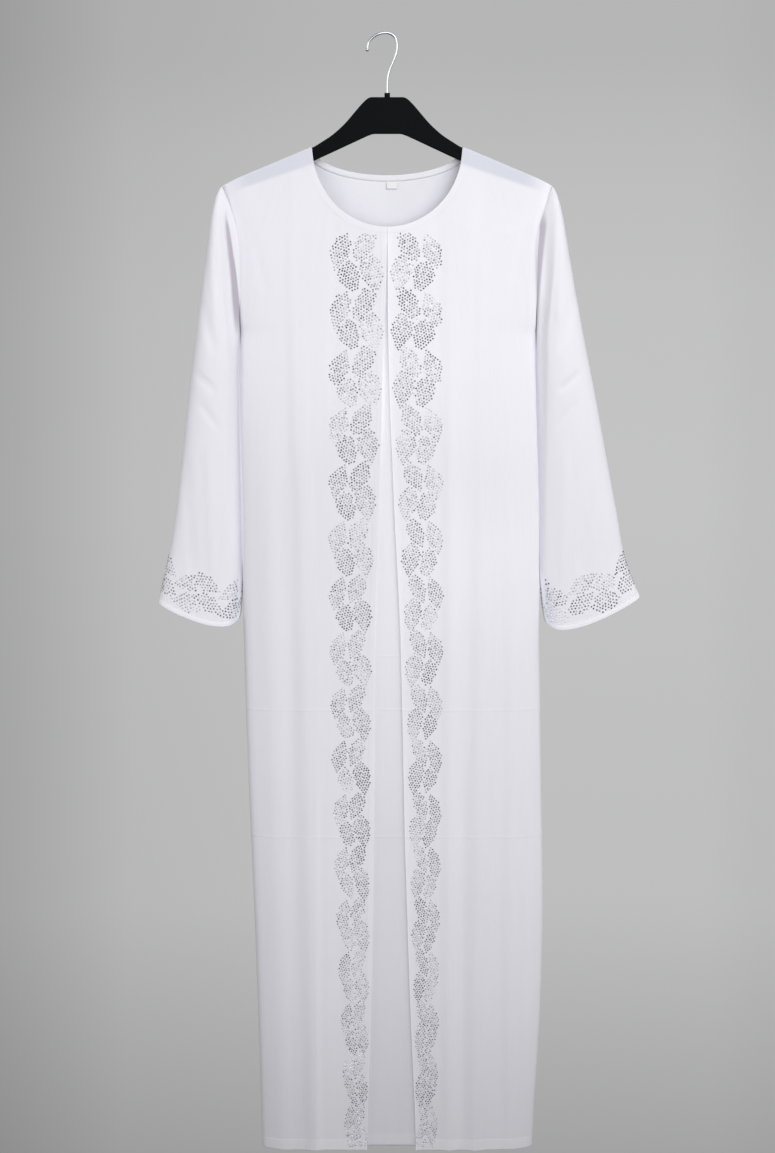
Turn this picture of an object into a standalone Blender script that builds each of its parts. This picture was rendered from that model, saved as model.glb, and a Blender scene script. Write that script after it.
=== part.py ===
"""White open-front abaya on a flat plastic hanger, as cloth walls round an open body.

Metres, +Z up, +X to the wearer's left, the front faces -Y. The origin is the inside top of
the hanger's hook, where a rail carries it. The cloth pieces are walls over one shared body
form: sections of half widths and depths down the height, rounded at the sides.
"""
import bmesh
import bpy
from collections import namedtuple
from math import acos, cos, hypot, radians, sin

# Cloth and seams
WALL = 0.0010
SEAM = 0.0003
LAYER_GAP = 0.0006
RIDGE_SEAM = 0.0004

# Shoulder line, where the cloth lies over the hanger's arms
NECK_X = 0.0998
NECK_Z = -0.1443
SHOULDER_SLOPE = 0.410
TIP_X = 0.2198
TIP_Z = -0.1957
TIP_DROOP_FROM = 0.19
TIP_DROOP = 0.0023
RIDGE_HALF = 0.0085
RIDGE_RADIUS = 0.0030
RIDGE_CORNER = 0.15
CROWN_ROUNDNESS = 4

# Neck and armholes
FRONT_NECK_DROP = 0.1043
BACK_NECK_DROP = 0.0369
UNDERARM_Z = -0.385
ARMHOLE_STRAIGHT_Z = -0.29
ARMHOLE_DEPTH = 0.026
ARMHOLE_TOP_FULLNESS = 0.35
FILL_OUT = 0.42

# Lengths
HEM_Z = -1.5465
INNER_HEM_Z = -1.5413
SIDE_ROUNDNESS = 5

# Body form below the arms: half widths to each side, and depths before and behind the arms
Section = namedtuple("Section", "z left right front back")
BODY = (
    Section(-0.385, 0.1965, 0.1992, 0.0400, 0.0400),
    Section(-0.460, 0.1985, 0.2005, 0.0410, 0.0420),
    Section(-0.620, 0.1972, 0.2058, 0.0400, 0.0440),
    Section(-0.810, 0.1968, 0.2093, 0.0380, 0.0470),
    Section(-1.000, 0.1930, 0.2140, 0.0360, 0.0500),
    Section(-1.200, 0.1870, 0.2190, 0.0345, 0.0530),
    Section(-1.360, 0.1830, 0.2164, 0.0330, 0.0550),
    Section(-1.5465, 0.1800, 0.2080, 0.0320, 0.0570),
)

# Front edges of the two outer fronts
Opening = namedtuple("Opening", "z left right")
OPENING = (
    Opening(-0.240, -0.0005, 0.0003),
    Opening(-0.305, -0.0010, 0.0005),
    Opening(-0.396, -0.0050, 0.0014),
    Opening(-0.550, -0.0083, 0.0064),
    Opening(-0.800, -0.0166, 0.0178),
    Opening(-1.100, -0.0192, 0.0247),
    Opening(-1.315, -0.0227, 0.0319),
    Opening(-1.5465, -0.0288, 0.0409),
)

# Side edges of the panel that hangs behind the opening
Placket = namedtuple("Placket", "z left right")
INNER_EDGES = (
    Placket(-0.385, -0.1150, 0.1180),
    Placket(-0.550, -0.1080, 0.1190),
    Placket(-0.830, -0.0980, 0.1205),
    Placket(-1.060, -0.1000, 0.1090),
    Placket(-1.5413, -0.1025, 0.1110),
)
INNER_TOP_X = 0.1280
INNER_DEPTH = 0.0060
INNER_FREE = 0.14

# Long soft folds: where each starts and ends, its half width and how far it stands out
Fold = namedtuple("Fold", "x_top x_hem z_top width height")
FRONT_FOLDS = (
    Fold(-0.165, -0.150, -0.42, 0.022, 0.0045),
    Fold(-0.118, -0.104, -0.30, 0.016, 0.0030),
    Fold(0.084, 0.088, -0.30, 0.014, 0.0028),
    Fold(0.128, 0.126, -0.48, 0.018, 0.0040),
    Fold(0.172, 0.180, -0.55, 0.018, 0.0045),
)
BACK_FOLDS = (
    Fold(-0.150, -0.142, -0.34, 0.024, 0.0080),
    Fold(-0.090, -0.082, -0.50, 0.020, 0.0065),
    Fold(-0.020, -0.026, -0.30, 0.024, 0.0090),
    Fold(0.048, 0.046, -0.58, 0.019, 0.0060),
    Fold(0.105, 0.110, -0.36, 0.022, 0.0085),
    Fold(0.165, 0.172, -0.52, 0.020, 0.0065),
)
FOLD_FADE = 0.30
FOLD_SIDE_FADE = 4

# Sleeves: outer line, gap to the body's side, inner line's height, half depth and its middle,
# and how far the edge hangs down between the two lines
Ring = namedtuple("Ring", "outer_x outer_z gap inner_z depth middle sag")
LEFT_SLEEVE = (
    Ring(0.2198, -0.1957, 0.0006, -0.385, 0.0260, 0.000, 0.000),
    Ring(0.2303, -0.2150, 0.0020, -0.397, 0.0300, 0.002, 0.000),
    Ring(0.2420, -0.2900, 0.0022, -0.418, 0.0380, 0.006, 0.000),
    Ring(0.2540, -0.3720, 0.0020, -0.455, 0.0420, 0.007, 0.000),
    Ring(0.2680, -0.4750, 0.0018, -0.515, 0.0400, 0.006, 0.000),
    Ring(0.2780, -0.5560, 0.0018, -0.583, 0.0360, 0.004, 0.004),
    Ring(0.2880, -0.6320, 0.0020, -0.648, 0.0320, 0.002, 0.020),
    Ring(0.2980, -0.6900, 0.0024, -0.698, 0.0285, 0.000, 0.046),
    Ring(0.3138, -0.7557, 0.0030, -0.750, 0.0270, -0.002, 0.066),
)
RIGHT_SLEEVE = (
    Ring(0.2198, -0.1957, 0.0006, -0.385, 0.0260, 0.000, 0.000),
    Ring(0.2297, -0.2169, 0.0020, -0.397, 0.0300, 0.002, 0.000),
    Ring(0.2443, -0.2951, 0.0022, -0.418, 0.0380, 0.006, 0.000),
    Ring(0.2618, -0.3854, 0.0020, -0.455, 0.0420, 0.007, 0.000),
    Ring(0.2793, -0.4673, 0.0018, -0.515, 0.0400, 0.006, 0.000),
    Ring(0.2960, -0.5510, 0.0018, -0.583, 0.0360, 0.004, 0.004),
    Ring(0.3120, -0.6300, 0.0020, -0.648, 0.0320, 0.002, 0.020),
    Ring(0.3250, -0.6950, 0.0030, -0.698, 0.0285, 0.000, 0.046),
    Ring(0.3461, -0.7473, 0.0060, -0.752, 0.0270, -0.002, 0.075),
)
SLEEVE_SEAM = 0.0006
SLEEVE_CUT_BLEND = 0.18
SAG_END = 0.25
BACK_SAG_MORE = 0.12

# How finely each wall is divided
YOKE_LEVELS = (0.0, 0.03, 0.08, 0.16, 0.27, 0.42, 0.58, 0.74, 0.88, 0.965, 1.0)
SKIRT_ROWS = 14
HALF_COLUMNS = 14
NECK_SHARE = 0.5
SLEEVE_ROWS = 20

# Back neck facing and size label
FACING_WIDTH = 0.0080
FACING_ROWS = 2
LABEL_WIDTH = 0.0140
LABEL_HEIGHT = 0.0090
LABEL_THICK = 0.0006
LABEL_X = 0.0062
LABEL_DROP = 0.0009

# Hanger
ARM_HALF = 0.0050
ARM_BELOW_RIDGE = 0.0018
ARM_TOP_X = (0.1000, 0.1250, 0.1550, 0.1850)
CREST = ((0.0213, -0.0806), (0.0262, -0.0826), (0.0338, -0.0896), (0.0433, -0.1003),
         (0.0566, -0.1153), (0.0722, -0.1290), (0.0860, -0.1380))
ARM_TIP = ((0.1975, -0.1890), (0.2025, -0.1935), (0.2030, -0.1975), (0.1990, -0.2003))
ARM_LOW_EDGE = ((0.1880, -0.1972), (0.1512, -0.1846), (0.1000, -0.1640), (0.0600, -0.1458),
                (0.0260, -0.1305), (0.0170, -0.1279))
OUTLINE_STEPS = 3
EDGE_ROUND = 0.0012
EDGE_ROUND_ANGLE = radians(50)
STRAIGHT_ANGLE = radians(1)
PIT_X = 0.0234
PIT_Z = -0.1028
PIT_RADIUS = 0.0018
PIT_DEPTH = 0.0005
NIB_RADIUS = 0.0037
NIB_TOP_Z = -0.0751
NIB_ROOT = 0.0040
BORE_PAST = 0.0020
WIRE_RADIUS = 0.0018
HOOK_ROUTE = (
    (-0.0262, -0.0195),
    (-0.0238, -0.0090),
    (-0.0130, -0.0003),
    (0.0000, 0.0018),
    (0.0094, -0.0028),
    (0.0128, -0.0125),
    (0.0118, -0.0235),
    (0.0075, -0.0350),
    (0.0030, -0.0455),
    (0.0004, -0.0560),
    (0.0000, -0.0680),
    (0.0000, -0.0900),
)
HOOK_STEPS = 3
TIP_BALL_RADIUS = 0.0026
WELD = 0.00002

CLOTH = ((0.86, 0.86, 0.89), 0.75, 0.0)
CLOTH_SHADE = ((0.80, 0.80, 0.84), 0.78, 0.0)
LABEL = ((0.90, 0.90, 0.91), 0.60, 0.0)
BLACK_PLASTIC = ((0.015, 0.015, 0.017), 0.42, 0.0)
CHROME = ((0.62, 0.62, 0.64), 0.18, 1.0)


def smooth(value):
    """Ease from 0 to 1."""
    value = min(max(value, 0.0), 1.0)
    return value * value * (3 - 2 * value)


def spline(table, place, column, key="z"):
    """A named column of a table read at a height, with a smooth curve through its rows."""
    rows = sorted(table, key=lambda row: getattr(row, key))
    keys = [getattr(row, key) for row in rows]
    place = min(max(place, keys[0]), keys[-1])
    index = max(i for i in range(len(keys) - 1) if keys[i] <= place or i == 0)
    values = [getattr(rows[min(max(index + step, 0), len(rows) - 1)], column) for step in (-1, 0, 1, 2)]
    return hermite(values, (place - keys[index]) / (keys[index + 1] - keys[index]))


def hermite(values, share):
    """Catmull-Rom curve between the middle two of four values."""
    before, start, end, after = values
    rise_in = (end - before) / 2
    rise_out = (after - start) / 2
    cube = share ** 3
    square = share ** 2
    return (
        start * (2 * cube - 3 * square + 1)
        + rise_in * (cube - 2 * square + share)
        + end * (3 * square - 2 * cube)
        + rise_out * (cube - square)
    )


def smooth_route(route, steps):
    """A route's points with a smooth curve read between them."""
    points = []
    for index in range(len(route) - 1):
        around = [route[min(max(index + step, 0), len(route) - 1)] for step in (-1, 0, 1, 2)]
        for step in range(steps):
            share = step / steps
            points.append(tuple(hermite([place[axis] for place in around], share) for axis in (0, 1)))
    return points + [route[-1]]


def ridge_height(x):
    """Height of the shoulder line over the hanger; level across the neck."""
    beyond = max(abs(x) - NECK_X, 0.0)
    droop = max(abs(x) - TIP_DROOP_FROM, 0.0) / (TIP_X - TIP_DROOP_FROM)
    return NECK_Z - SHOULDER_SLOPE * beyond - TIP_DROOP * droop * droop


def half_width(z, side):
    """Reach of the body to one side: the armhole above the underarm, the section below it."""
    column = "left" if side < 0 else "right"
    if z <= UNDERARM_Z:
        return spline(BODY, z, column)
    base = getattr(BODY[0], column)
    curve = max(z - ARMHOLE_STRAIGHT_Z, 0.0) / (TIP_Z - ARMHOLE_STRAIGHT_Z)
    return base + (TIP_X - base) * min(curve, 1.0) ** 2


def armhole_depth(z):
    """Half depth of the armhole seam at a height; nothing at its two ends."""
    share = (TIP_Z - z) / (TIP_Z - UNDERARM_Z)
    if share <= 0 or share >= 1:
        return 0.0
    fullness = ARMHOLE_TOP_FULLNESS + (1 - ARMHOLE_TOP_FULLNESS) * share
    return ARMHOLE_DEPTH * (4 * share * (1 - share)) ** 0.5 * fullness


def fold_height(folds, x, z):
    """How far the soft folds stand out at a place."""
    total = 0.0
    for fold in folds:
        run = min(max((fold.z_top - z) / (fold.z_top - HEM_Z), 0.0), 1.0)
        middle = fold.x_top + (fold.x_hem - fold.x_top) * run
        across = (x - middle) / fold.width
        if abs(across) < 1:
            total += fold.height * smooth((fold.z_top - z) / FOLD_FADE) * (1 - across * across) ** 2
    return total


def body_y(x, z, facing):
    """Outer surface of the body form; facing is -1 at the front and 1 at the back."""
    reach = half_width(z, x)
    across = min(abs(x) / reach, 1.0)
    drop = max(ridge_height(x) - z, 0.0)
    full = spline(BODY, z, "front" if facing < 0 else "back")
    depth = RIDGE_HALF + (full - RIDGE_HALF) * smooth(drop / FILL_OUT)
    crown = max(1 - drop / RIDGE_RADIUS, 0.0)
    depth *= (1 - crown ** CROWN_ROUNDNESS) ** (1 / CROWN_ROUNDNESS)
    depth += fold_height(FRONT_FOLDS if facing < 0 else BACK_FOLDS, x, z) * (1 - across ** FOLD_SIDE_FADE)
    edge = armhole_depth(z)
    rounded = (1 - across ** SIDE_ROUNDNESS) ** (1 / SIDE_ROUNDNESS)
    return facing * (edge + (depth - edge) * rounded)


def seam_clear(y, facing):
    """Keep a wall's edge on its own side of the shoulder and side seams."""
    return facing * max(facing * y, RIDGE_SEAM)


def panel_top(share, drop):
    """Top edge of a half panel: the neck curve, then just below the shoulder line to the tip."""
    if share <= NECK_SHARE:
        angle = acos(RIDGE_RADIUS / drop) * share / NECK_SHARE
        return NECK_X * sin(angle), NECK_Z - drop * cos(angle)
    x = NECK_X + (TIP_X - NECK_X) * (share - NECK_SHARE) / (1 - NECK_SHARE)
    return x, ridge_height(x) - RIDGE_RADIUS


def armhole_height(level):
    """Height on the armhole seam, from just under the shoulder tip down to the underarm."""
    return (1 - level) * (ridge_height(TIP_X) - RIDGE_RADIUS) + level * UNDERARM_Z


def yoke_point(share, level, side, drop):
    """A place of a half panel between its top edge and the underarm, filled in from its sides."""
    top_x, top_z = panel_top(share, drop)
    low_x = half_width(UNDERARM_Z, side) * sin(radians(90) * share)
    edge_x = half_width(armhole_height(level), side)
    straight_x = TIP_X + (half_width(UNDERARM_Z, side) - TIP_X) * level
    x = (1 - level) * top_x + level * low_x + share * (edge_x - straight_x)
    return x, (1 - level) * top_z + level * UNDERARM_Z


def shoulder_rows(side, facing):
    """The strip that lies over the hanger's arm; the neck has no cloth here, so it has no points."""
    rows = []
    for drop in (0.0, RIDGE_RADIUS * RIDGE_CORNER):
        row = []
        for column in range(HALF_COLUMNS + 1):
            share = column / HALF_COLUMNS
            if share < NECK_SHARE:
                row.append(None)
                continue
            x, low_z = panel_top(share, FRONT_NECK_DROP)
            z = ridge_height(x) - drop
            row.append((side * x, seam_clear(body_y(side * x, z, facing), facing), z))
        rows.append(row)
    return rows


def half_panel(side, facing, drop, centre_line):
    """Rows of points of one half of the front or back, from its centre line to its side."""
    rows = shoulder_rows(side, facing)
    places = [[yoke_point(column / HALF_COLUMNS, level, side, drop) for column in range(HALF_COLUMNS + 1)]
              for level in YOKE_LEVELS]
    for step in range(1, SKIRT_ROWS + 1):
        z = UNDERARM_Z + (HEM_Z - UNDERARM_Z) * step / SKIRT_ROWS
        reach = half_width(z, side)
        places.append([(reach * sin(radians(90) * column / HALF_COLUMNS), z)
                       for column in range(HALF_COLUMNS + 1)])
    for line in places:
        row = []
        for column, (out, z) in enumerate(line):
            share = column / HALF_COLUMNS
            x = side * out + centre_line(z) * (1 - share) ** 2
            row.append((x, seam_clear(body_y(x, z, facing), facing), z))
        rows.append(row)
    return rows


def material_for(name, look):
    """A plain material with its own colour, roughness and metallic value."""
    color, roughness, metallic = look
    material = bpy.data.materials.new(name)
    material.use_nodes = True
    shader = material.node_tree.nodes["Principled BSDF"]
    shader.inputs["Base Color"].default_value = (*color, 1.0)
    shader.inputs["Roughness"].default_value = roughness
    shader.inputs["Metallic"].default_value = metallic
    return material


def finish(thing, name, look, collection):
    """Name an object, give it its material and put it in its collection."""
    thing.name = name
    thing.data.name = name
    thing.data.materials.clear()
    thing.data.materials.append(material_for(name, look))
    for owner in list(thing.users_collection):
        owner.objects.unlink(thing)
    collection.objects.link(thing)
    return thing


def cloth(name, rows, look, collection, tube=False, wall=WALL):
    """A cloth wall from rows of points that run left to right as seen from outside."""
    mesh = bpy.data.meshes.new(name)
    form = bmesh.new()
    grid = [[point and form.verts.new(point) for point in row] for row in rows]
    for upper, lower in zip(grid, grid[1:]):
        count = len(upper)
        for index in range(count if tube else count - 1):
            after = (index + 1) % count
            corners = (upper[index], lower[index], lower[after], upper[after])
            if all(corners):
                form.faces.new(corners).smooth = True
    form.to_mesh(mesh)
    form.free()
    thing = bpy.data.objects.new(name, mesh)
    collection.objects.link(thing)
    solidify = thing.modifiers.new("wall", "SOLIDIFY")
    solidify.thickness = wall
    solidify.offset = -1
    solidify.use_even_offset = True
    thing.modifiers.new("even shading", "WEIGHTED_NORMAL")
    return finish(thing, name, look, collection)


def outer_front(name, side, collection):
    """One outer front, from the open front edge round to the side seam."""
    column = "left" if side < 0 else "right"
    rows = half_panel(side, -1, FRONT_NECK_DROP, lambda z: spline(OPENING, z, column))
    if side < 0:
        rows = [row[::-1] for row in rows]
    return cloth(name, rows, CLOTH, collection)


def back_panel(collection):
    """The whole back, in one piece across the centre."""
    right = half_panel(1, 1, BACK_NECK_DROP, lambda z: 0.0)
    left = half_panel(-1, 1, BACK_NECK_DROP, lambda z: 0.0)
    rows = [half[::-1] + other[1:] for half, other in zip(right, left)]
    return cloth("back", rows, CLOTH_SHADE, collection)


def inner_shares():
    """Places of the inner front's columns across a half panel, from the centre to its side edge."""
    neck_columns = round(NECK_SHARE * HALF_COLUMNS)
    edge = NECK_SHARE + (1 - NECK_SHARE) * (INNER_TOP_X - NECK_X) / (TIP_X - NECK_X)
    return [column / HALF_COLUMNS for column in range(neck_columns + 1)] + [edge]


def inner_row(level, skirt):
    """One row of the inner front, from its left edge to its right edge."""
    shares = inner_shares()
    row = []
    for share, side in [(share, -1) for share in shares[:0:-1]] + [(share, 1) for share in shares]:
        out, z = yoke_point(share, level, side, FRONT_NECK_DROP)
        top = panel_top(share, FRONT_NECK_DROP)[1]
        z += (INNER_HEM_Z - UNDERARM_Z) * skirt
        free = smooth((top - z) / INNER_FREE)
        edge = abs(spline(INNER_EDGES, z, "left" if side < 0 else "right"))
        x = side * (out + (edge * share / shares[-1] - out) * free)
        row.append((x, body_y(x, z, -1) + WALL + SEAM + INNER_DEPTH * free, z))
    return row


def inner_front(collection):
    """The panel behind the opening, made from the outer fronts' places moved in."""
    rows = [inner_row(level, 0.0) for level in YOKE_LEVELS]
    rows += [inner_row(1.0, step / SKIRT_ROWS) for step in range(1, SKIRT_ROWS + 1)]
    return cloth("front_inner", rows, CLOTH_SHADE, collection)


def ring_places():
    """Round a sleeve: each place's share of the way to the underarm, and whether it is in front."""
    heights = [armhole_height(level) for level in YOKE_LEVELS]
    shares = [(TIP_Z - z) / (TIP_Z - UNDERARM_Z) for z in heights]
    front = [(share, -1) for share in shares]
    behind = [(share, 1) for share in shares[:-1]]
    return [(0.0, 0)] + front + behind[::-1]


def sleeve(name, side, rings, collection):
    """A sleeve tube from the armhole down to the open cuff."""
    Place = namedtuple("Place", Ring._fields + ("along",))
    table = [Place(*ring, index) for index, ring in enumerate(rings)]
    rows = []
    for step in range(SLEEVE_ROWS + 1):
        share = step / SLEEVE_ROWS
        along = (len(rings) - 1) * share
        ring = Ring(*(spline(table, along, field, "along") for field in Ring._fields))
        armhole_part = 1 - smooth(share / SLEEVE_CUT_BLEND)
        row = []
        for inward, facing in ring_places():
            inner_x = half_width(ring.inner_z, side) + ring.gap
            x = ring.outer_x + (inner_x - ring.outer_x) * inward
            sag = ring.sag * inward * (1 - inward) ** SAG_END * (1 + BACK_SAG_MORE * (facing > 0))
            z = ring.outer_z + (ring.inner_z - ring.outer_z) * inward - sag
            y = ring.middle + facing * ring.depth * 2 * (inward * (1 - inward)) ** 0.5
            seam_z = TIP_Z + (UNDERARM_Z - TIP_Z) * inward
            seam_x = half_width(seam_z, side) + SLEEVE_SEAM
            x += (seam_x - x) * armhole_part
            y += (facing * armhole_depth(seam_z) - y) * armhole_part
            z += (seam_z - z) * armhole_part
            row.append((side * x, y, z))
        rows.append(row if side < 0 else row[::-1])
    return cloth(name, rows, CLOTH, collection, tube=True)


def neck_facing(collection):
    """The narrow band turned to the inside of the back neck, on the back's own columns."""
    neck_columns = round(NECK_SHARE * HALF_COLUMNS)
    last = neck_columns - 0.5
    rows = []
    for step in range(FACING_ROWS + 1):
        row = []
        for column in range(-neck_columns, neck_columns + 1):
            turn = -max(min(column, last), -last) / neck_columns
            angle = acos(RIDGE_RADIUS / BACK_NECK_DROP) * turn
            out = sin(angle) / NECK_X
            down = -cos(angle) / BACK_NECK_DROP
            width = (SEAM + FACING_WIDTH * step / FACING_ROWS) / hypot(out, down)
            x = NECK_X * sin(angle) + width * out
            z = NECK_Z - BACK_NECK_DROP * cos(angle) + width * down
            row.append((x, body_y(x, z, 1) - WALL - LAYER_GAP, z))
        rows.append(row)
    return cloth("neck_facing_back", rows, CLOTH, collection)


def size_label(collection):
    """A small bare label that hangs just under the facing."""
    top = NECK_Z - BACK_NECK_DROP - FACING_WIDTH - LABEL_DROP
    z = top - LABEL_HEIGHT / 2
    y = body_y(LABEL_X, z, 1) - WALL - LAYER_GAP - LABEL_THICK
    bpy.ops.mesh.primitive_cube_add(size=1.0, location=(LABEL_X, y, z))
    label = bpy.context.object
    label.scale = (LABEL_WIDTH, LABEL_THICK, LABEL_HEIGHT)
    forward = body_y(LABEL_X, top - LABEL_HEIGHT, 1) - body_y(LABEL_X, top, 1)
    label.rotation_euler = (forward / LABEL_HEIGHT, 0, 0)
    bpy.ops.object.transform_apply(location=False, rotation=False, scale=True)
    return finish(label, "size_label", LABEL, collection)


def add_cutter(thing, name, cutters):
    """Keep a cutter out of the part."""
    for owner in list(thing.users_collection):
        owner.objects.unlink(thing)
    cutters.objects.link(thing)
    thing.name = name
    thing.hide_render = True
    thing.display_type = "WIRE"
    return thing


def hanger_outline():
    """The hanger's front outline: a smooth line from the crest out along one arm and back, mirrored."""
    arm_top = [(x, ridge_height(x) - ARM_BELOW_RIDGE) for x in ARM_TOP_X]
    half = list(CREST) + arm_top + list(ARM_TIP) + list(ARM_LOW_EDGE)
    line = smooth_route(half, OUTLINE_STEPS)
    return line + [(-x, z) for x, z in reversed(line)]


def hanger_body(collection, cutters):
    """The flat black hanger with its crest, arms, nib, shank bore and two small pits."""
    curve = bpy.data.curves.new("hanger_body", "CURVE")
    curve.dimensions = "2D"
    curve.fill_mode = "BOTH"
    curve.extrude = ARM_HALF
    outline = hanger_outline()
    line = curve.splines.new("POLY")
    line.points.add(len(outline) - 1)
    for point, (x, z) in zip(line.points, outline):
        point.co = (x, z, 0, 1)
    line.use_cyclic_u = True
    flat = bpy.data.objects.new("hanger_flat", curve)
    flat.rotation_euler = (radians(90), 0, 0)
    collection.objects.link(flat)
    bpy.context.view_layer.update()
    mesh = bpy.data.meshes.new_from_object(flat.evaluated_get(bpy.context.evaluated_depsgraph_get()))
    form = bmesh.new()
    form.from_mesh(mesh)
    bmesh.ops.remove_doubles(form, verts=form.verts, dist=WELD)
    bmesh.ops.dissolve_limit(
        form, angle_limit=STRAIGHT_ANGLE, use_dissolve_boundaries=False,
        verts=form.verts, edges=form.edges,
    )
    form.to_mesh(mesh)
    form.free()
    body = bpy.data.objects.new("hanger_body", mesh)
    body.matrix_world = flat.matrix_world
    collection.objects.link(body)
    bpy.data.objects.remove(flat)
    bevel = body.modifiers.new("rounded edges", "BEVEL")
    bevel.width = EDGE_ROUND
    bevel.segments = 2
    bevel.limit_method = "ANGLE"
    bevel.angle_limit = EDGE_ROUND_ANGLE
    nib_height = NIB_TOP_Z - CREST[0][1] + NIB_ROOT
    bpy.ops.mesh.primitive_cylinder_add(
        radius=NIB_RADIUS, depth=nib_height, vertices=24, location=(0, 0, NIB_TOP_Z - nib_height / 2),
    )
    nib = add_cutter(bpy.context.object, "nib_shape", cutters)
    join = body.modifiers.new("nib", "BOOLEAN")
    join.operation = "UNION"
    join.object = nib
    bore_bottom = HOOK_ROUTE[-1][1] - SEAM
    bore_depth = NIB_TOP_Z - bore_bottom + BORE_PAST
    bpy.ops.mesh.primitive_cylinder_add(
        radius=WIRE_RADIUS + SEAM, depth=bore_depth, vertices=16,
        location=(0, 0, bore_bottom + bore_depth / 2),
    )
    bore = add_cutter(bpy.context.object, "shank_bore", cutters)
    cut = body.modifiers.new("shank bore", "BOOLEAN")
    cut.object = bore
    for label, side in (("left", -1), ("right", 1)):
        bpy.ops.mesh.primitive_cylinder_add(
            radius=PIT_RADIUS, depth=2 * PIT_DEPTH, vertices=16, location=(side * PIT_X, -ARM_HALF, PIT_Z),
            rotation=(radians(90), 0, 0),
        )
        pit = add_cutter(bpy.context.object, "pit_" + label, cutters)
        cut = body.modifiers.new("pit " + label, "BOOLEAN")
        cut.object = pit
    return finish(body, "hanger_body", BLACK_PLASTIC, collection)


def hanger_hook(collection):
    """The round wire hook, from its small ball end down into the hanger."""
    curve = bpy.data.curves.new("hanger_hook", "CURVE")
    curve.dimensions = "3D"
    curve.bevel_depth = WIRE_RADIUS
    curve.bevel_resolution = 2
    curve.use_fill_caps = True
    points = smooth_route(HOOK_ROUTE, HOOK_STEPS)
    line = curve.splines.new("POLY")
    line.points.add(len(points) - 1)
    for point, (x, z) in zip(line.points, points):
        point.co = (x, 0, z, 1)
    wire = bpy.data.objects.new("hook_wire", curve)
    collection.objects.link(wire)
    bpy.context.view_layer.update()
    mesh = bpy.data.meshes.new_from_object(wire.evaluated_get(bpy.context.evaluated_depsgraph_get()))
    form = bmesh.new()
    form.from_mesh(mesh)
    bmesh.ops.remove_doubles(form, verts=form.verts, dist=WELD)
    form.to_mesh(mesh)
    form.free()
    hook = bpy.data.objects.new("hanger_hook", mesh)
    collection.objects.link(hook)
    bpy.data.objects.remove(wire)
    return hook, points[0]


def hook_with_ball(collection, cutters):
    """The hook with the ball joined to its tip."""
    hook, tip = hanger_hook(collection)
    bpy.ops.mesh.primitive_uv_sphere_add(
        radius=TIP_BALL_RADIUS, segments=12, ring_count=8, location=(tip[0], 0, tip[1]),
    )
    ball = add_cutter(bpy.context.object, "tip_ball", cutters)
    join = hook.modifiers.new("ball end", "BOOLEAN")
    join.operation = "UNION"
    join.object = ball
    return finish(hook, "hanger_hook", CHROME, collection)


def main():
    for thing in list(bpy.data.objects):
        bpy.data.objects.remove(thing)
    parts = bpy.data.collections.new("abaya")
    cutters = bpy.data.collections.new("cutters")
    bpy.context.scene.collection.children.link(parts)
    bpy.context.scene.collection.children.link(cutters)
    outer_front("front_outer_left", -1, parts)
    outer_front("front_outer_right", 1, parts)
    inner_front(parts)
    back_panel(parts)
    sleeve("sleeve_left", -1, LEFT_SLEEVE, parts)
    sleeve("sleeve_right", 1, RIGHT_SLEEVE, parts)
    neck_facing(parts)
    size_label(parts)
    hanger_body(parts, cutters)
    hook_with_ball(parts, cutters)


main()
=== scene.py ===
"""Looks of the white open-front abaya on its hanger: crepe cloth, stone borders, stitching and stage.

Laid out as an add-on: settings, one operator for each piece or group, and a sidebar panel. Every
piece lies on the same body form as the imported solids, in metres, +Z up, with the front to -Y.
"""

from collections import namedtuple
from math import pi, radians, tau

import bmesh
import bpy
import numpy as np
from bpy.props import FloatProperty, FloatVectorProperty, IntProperty, PointerProperty
from mathutils import Matrix, Vector


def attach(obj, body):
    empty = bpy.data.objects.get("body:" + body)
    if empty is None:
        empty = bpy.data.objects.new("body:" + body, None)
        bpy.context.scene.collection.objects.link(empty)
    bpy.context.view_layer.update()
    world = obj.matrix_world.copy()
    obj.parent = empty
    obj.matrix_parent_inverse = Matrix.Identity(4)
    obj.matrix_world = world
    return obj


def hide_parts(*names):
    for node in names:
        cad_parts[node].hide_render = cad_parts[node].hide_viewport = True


bl_info = {
    "name": "Open-front abaya on a hanger",
    "version": (1, 0, 0),
    "blender": (4, 5, 0),
    "location": "3D View > Sidebar > Abaya",
    "description": "Dresses the packed abaya with crepe cloth, stone borders, stitching and a studio",
    "category": "Object",
}

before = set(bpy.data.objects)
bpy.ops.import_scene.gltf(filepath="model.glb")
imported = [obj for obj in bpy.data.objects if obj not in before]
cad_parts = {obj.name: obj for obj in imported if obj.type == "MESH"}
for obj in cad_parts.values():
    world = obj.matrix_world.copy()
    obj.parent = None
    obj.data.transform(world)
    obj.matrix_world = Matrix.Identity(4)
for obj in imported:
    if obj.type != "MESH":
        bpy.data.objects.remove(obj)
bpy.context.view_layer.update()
SIDES = (("left", -1), ("right", 1))


def table_of(kind, *values):
    """The rows of a table, with a name for each column."""
    return tuple(kind(*value) for value in values)


# Body form, as the solids have it: cloth, seams and shoulder line
WALL = 0.0010
SEAM = 0.0003
LAYER_GAP = 0.0006
RIDGE_SEAM = 0.0004
NECK_X = 0.0998
NECK_Z = -0.1443
SHOULDER_SLOPE = 0.410
TIP_X = 0.2198
TIP_Z = -0.1957
TIP_DROOP_FROM = 0.19
TIP_DROOP = 0.0023
RIDGE_HALF = 0.0085
RIDGE_RADIUS = 0.0030
CROWN_ROUNDNESS = 4

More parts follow.
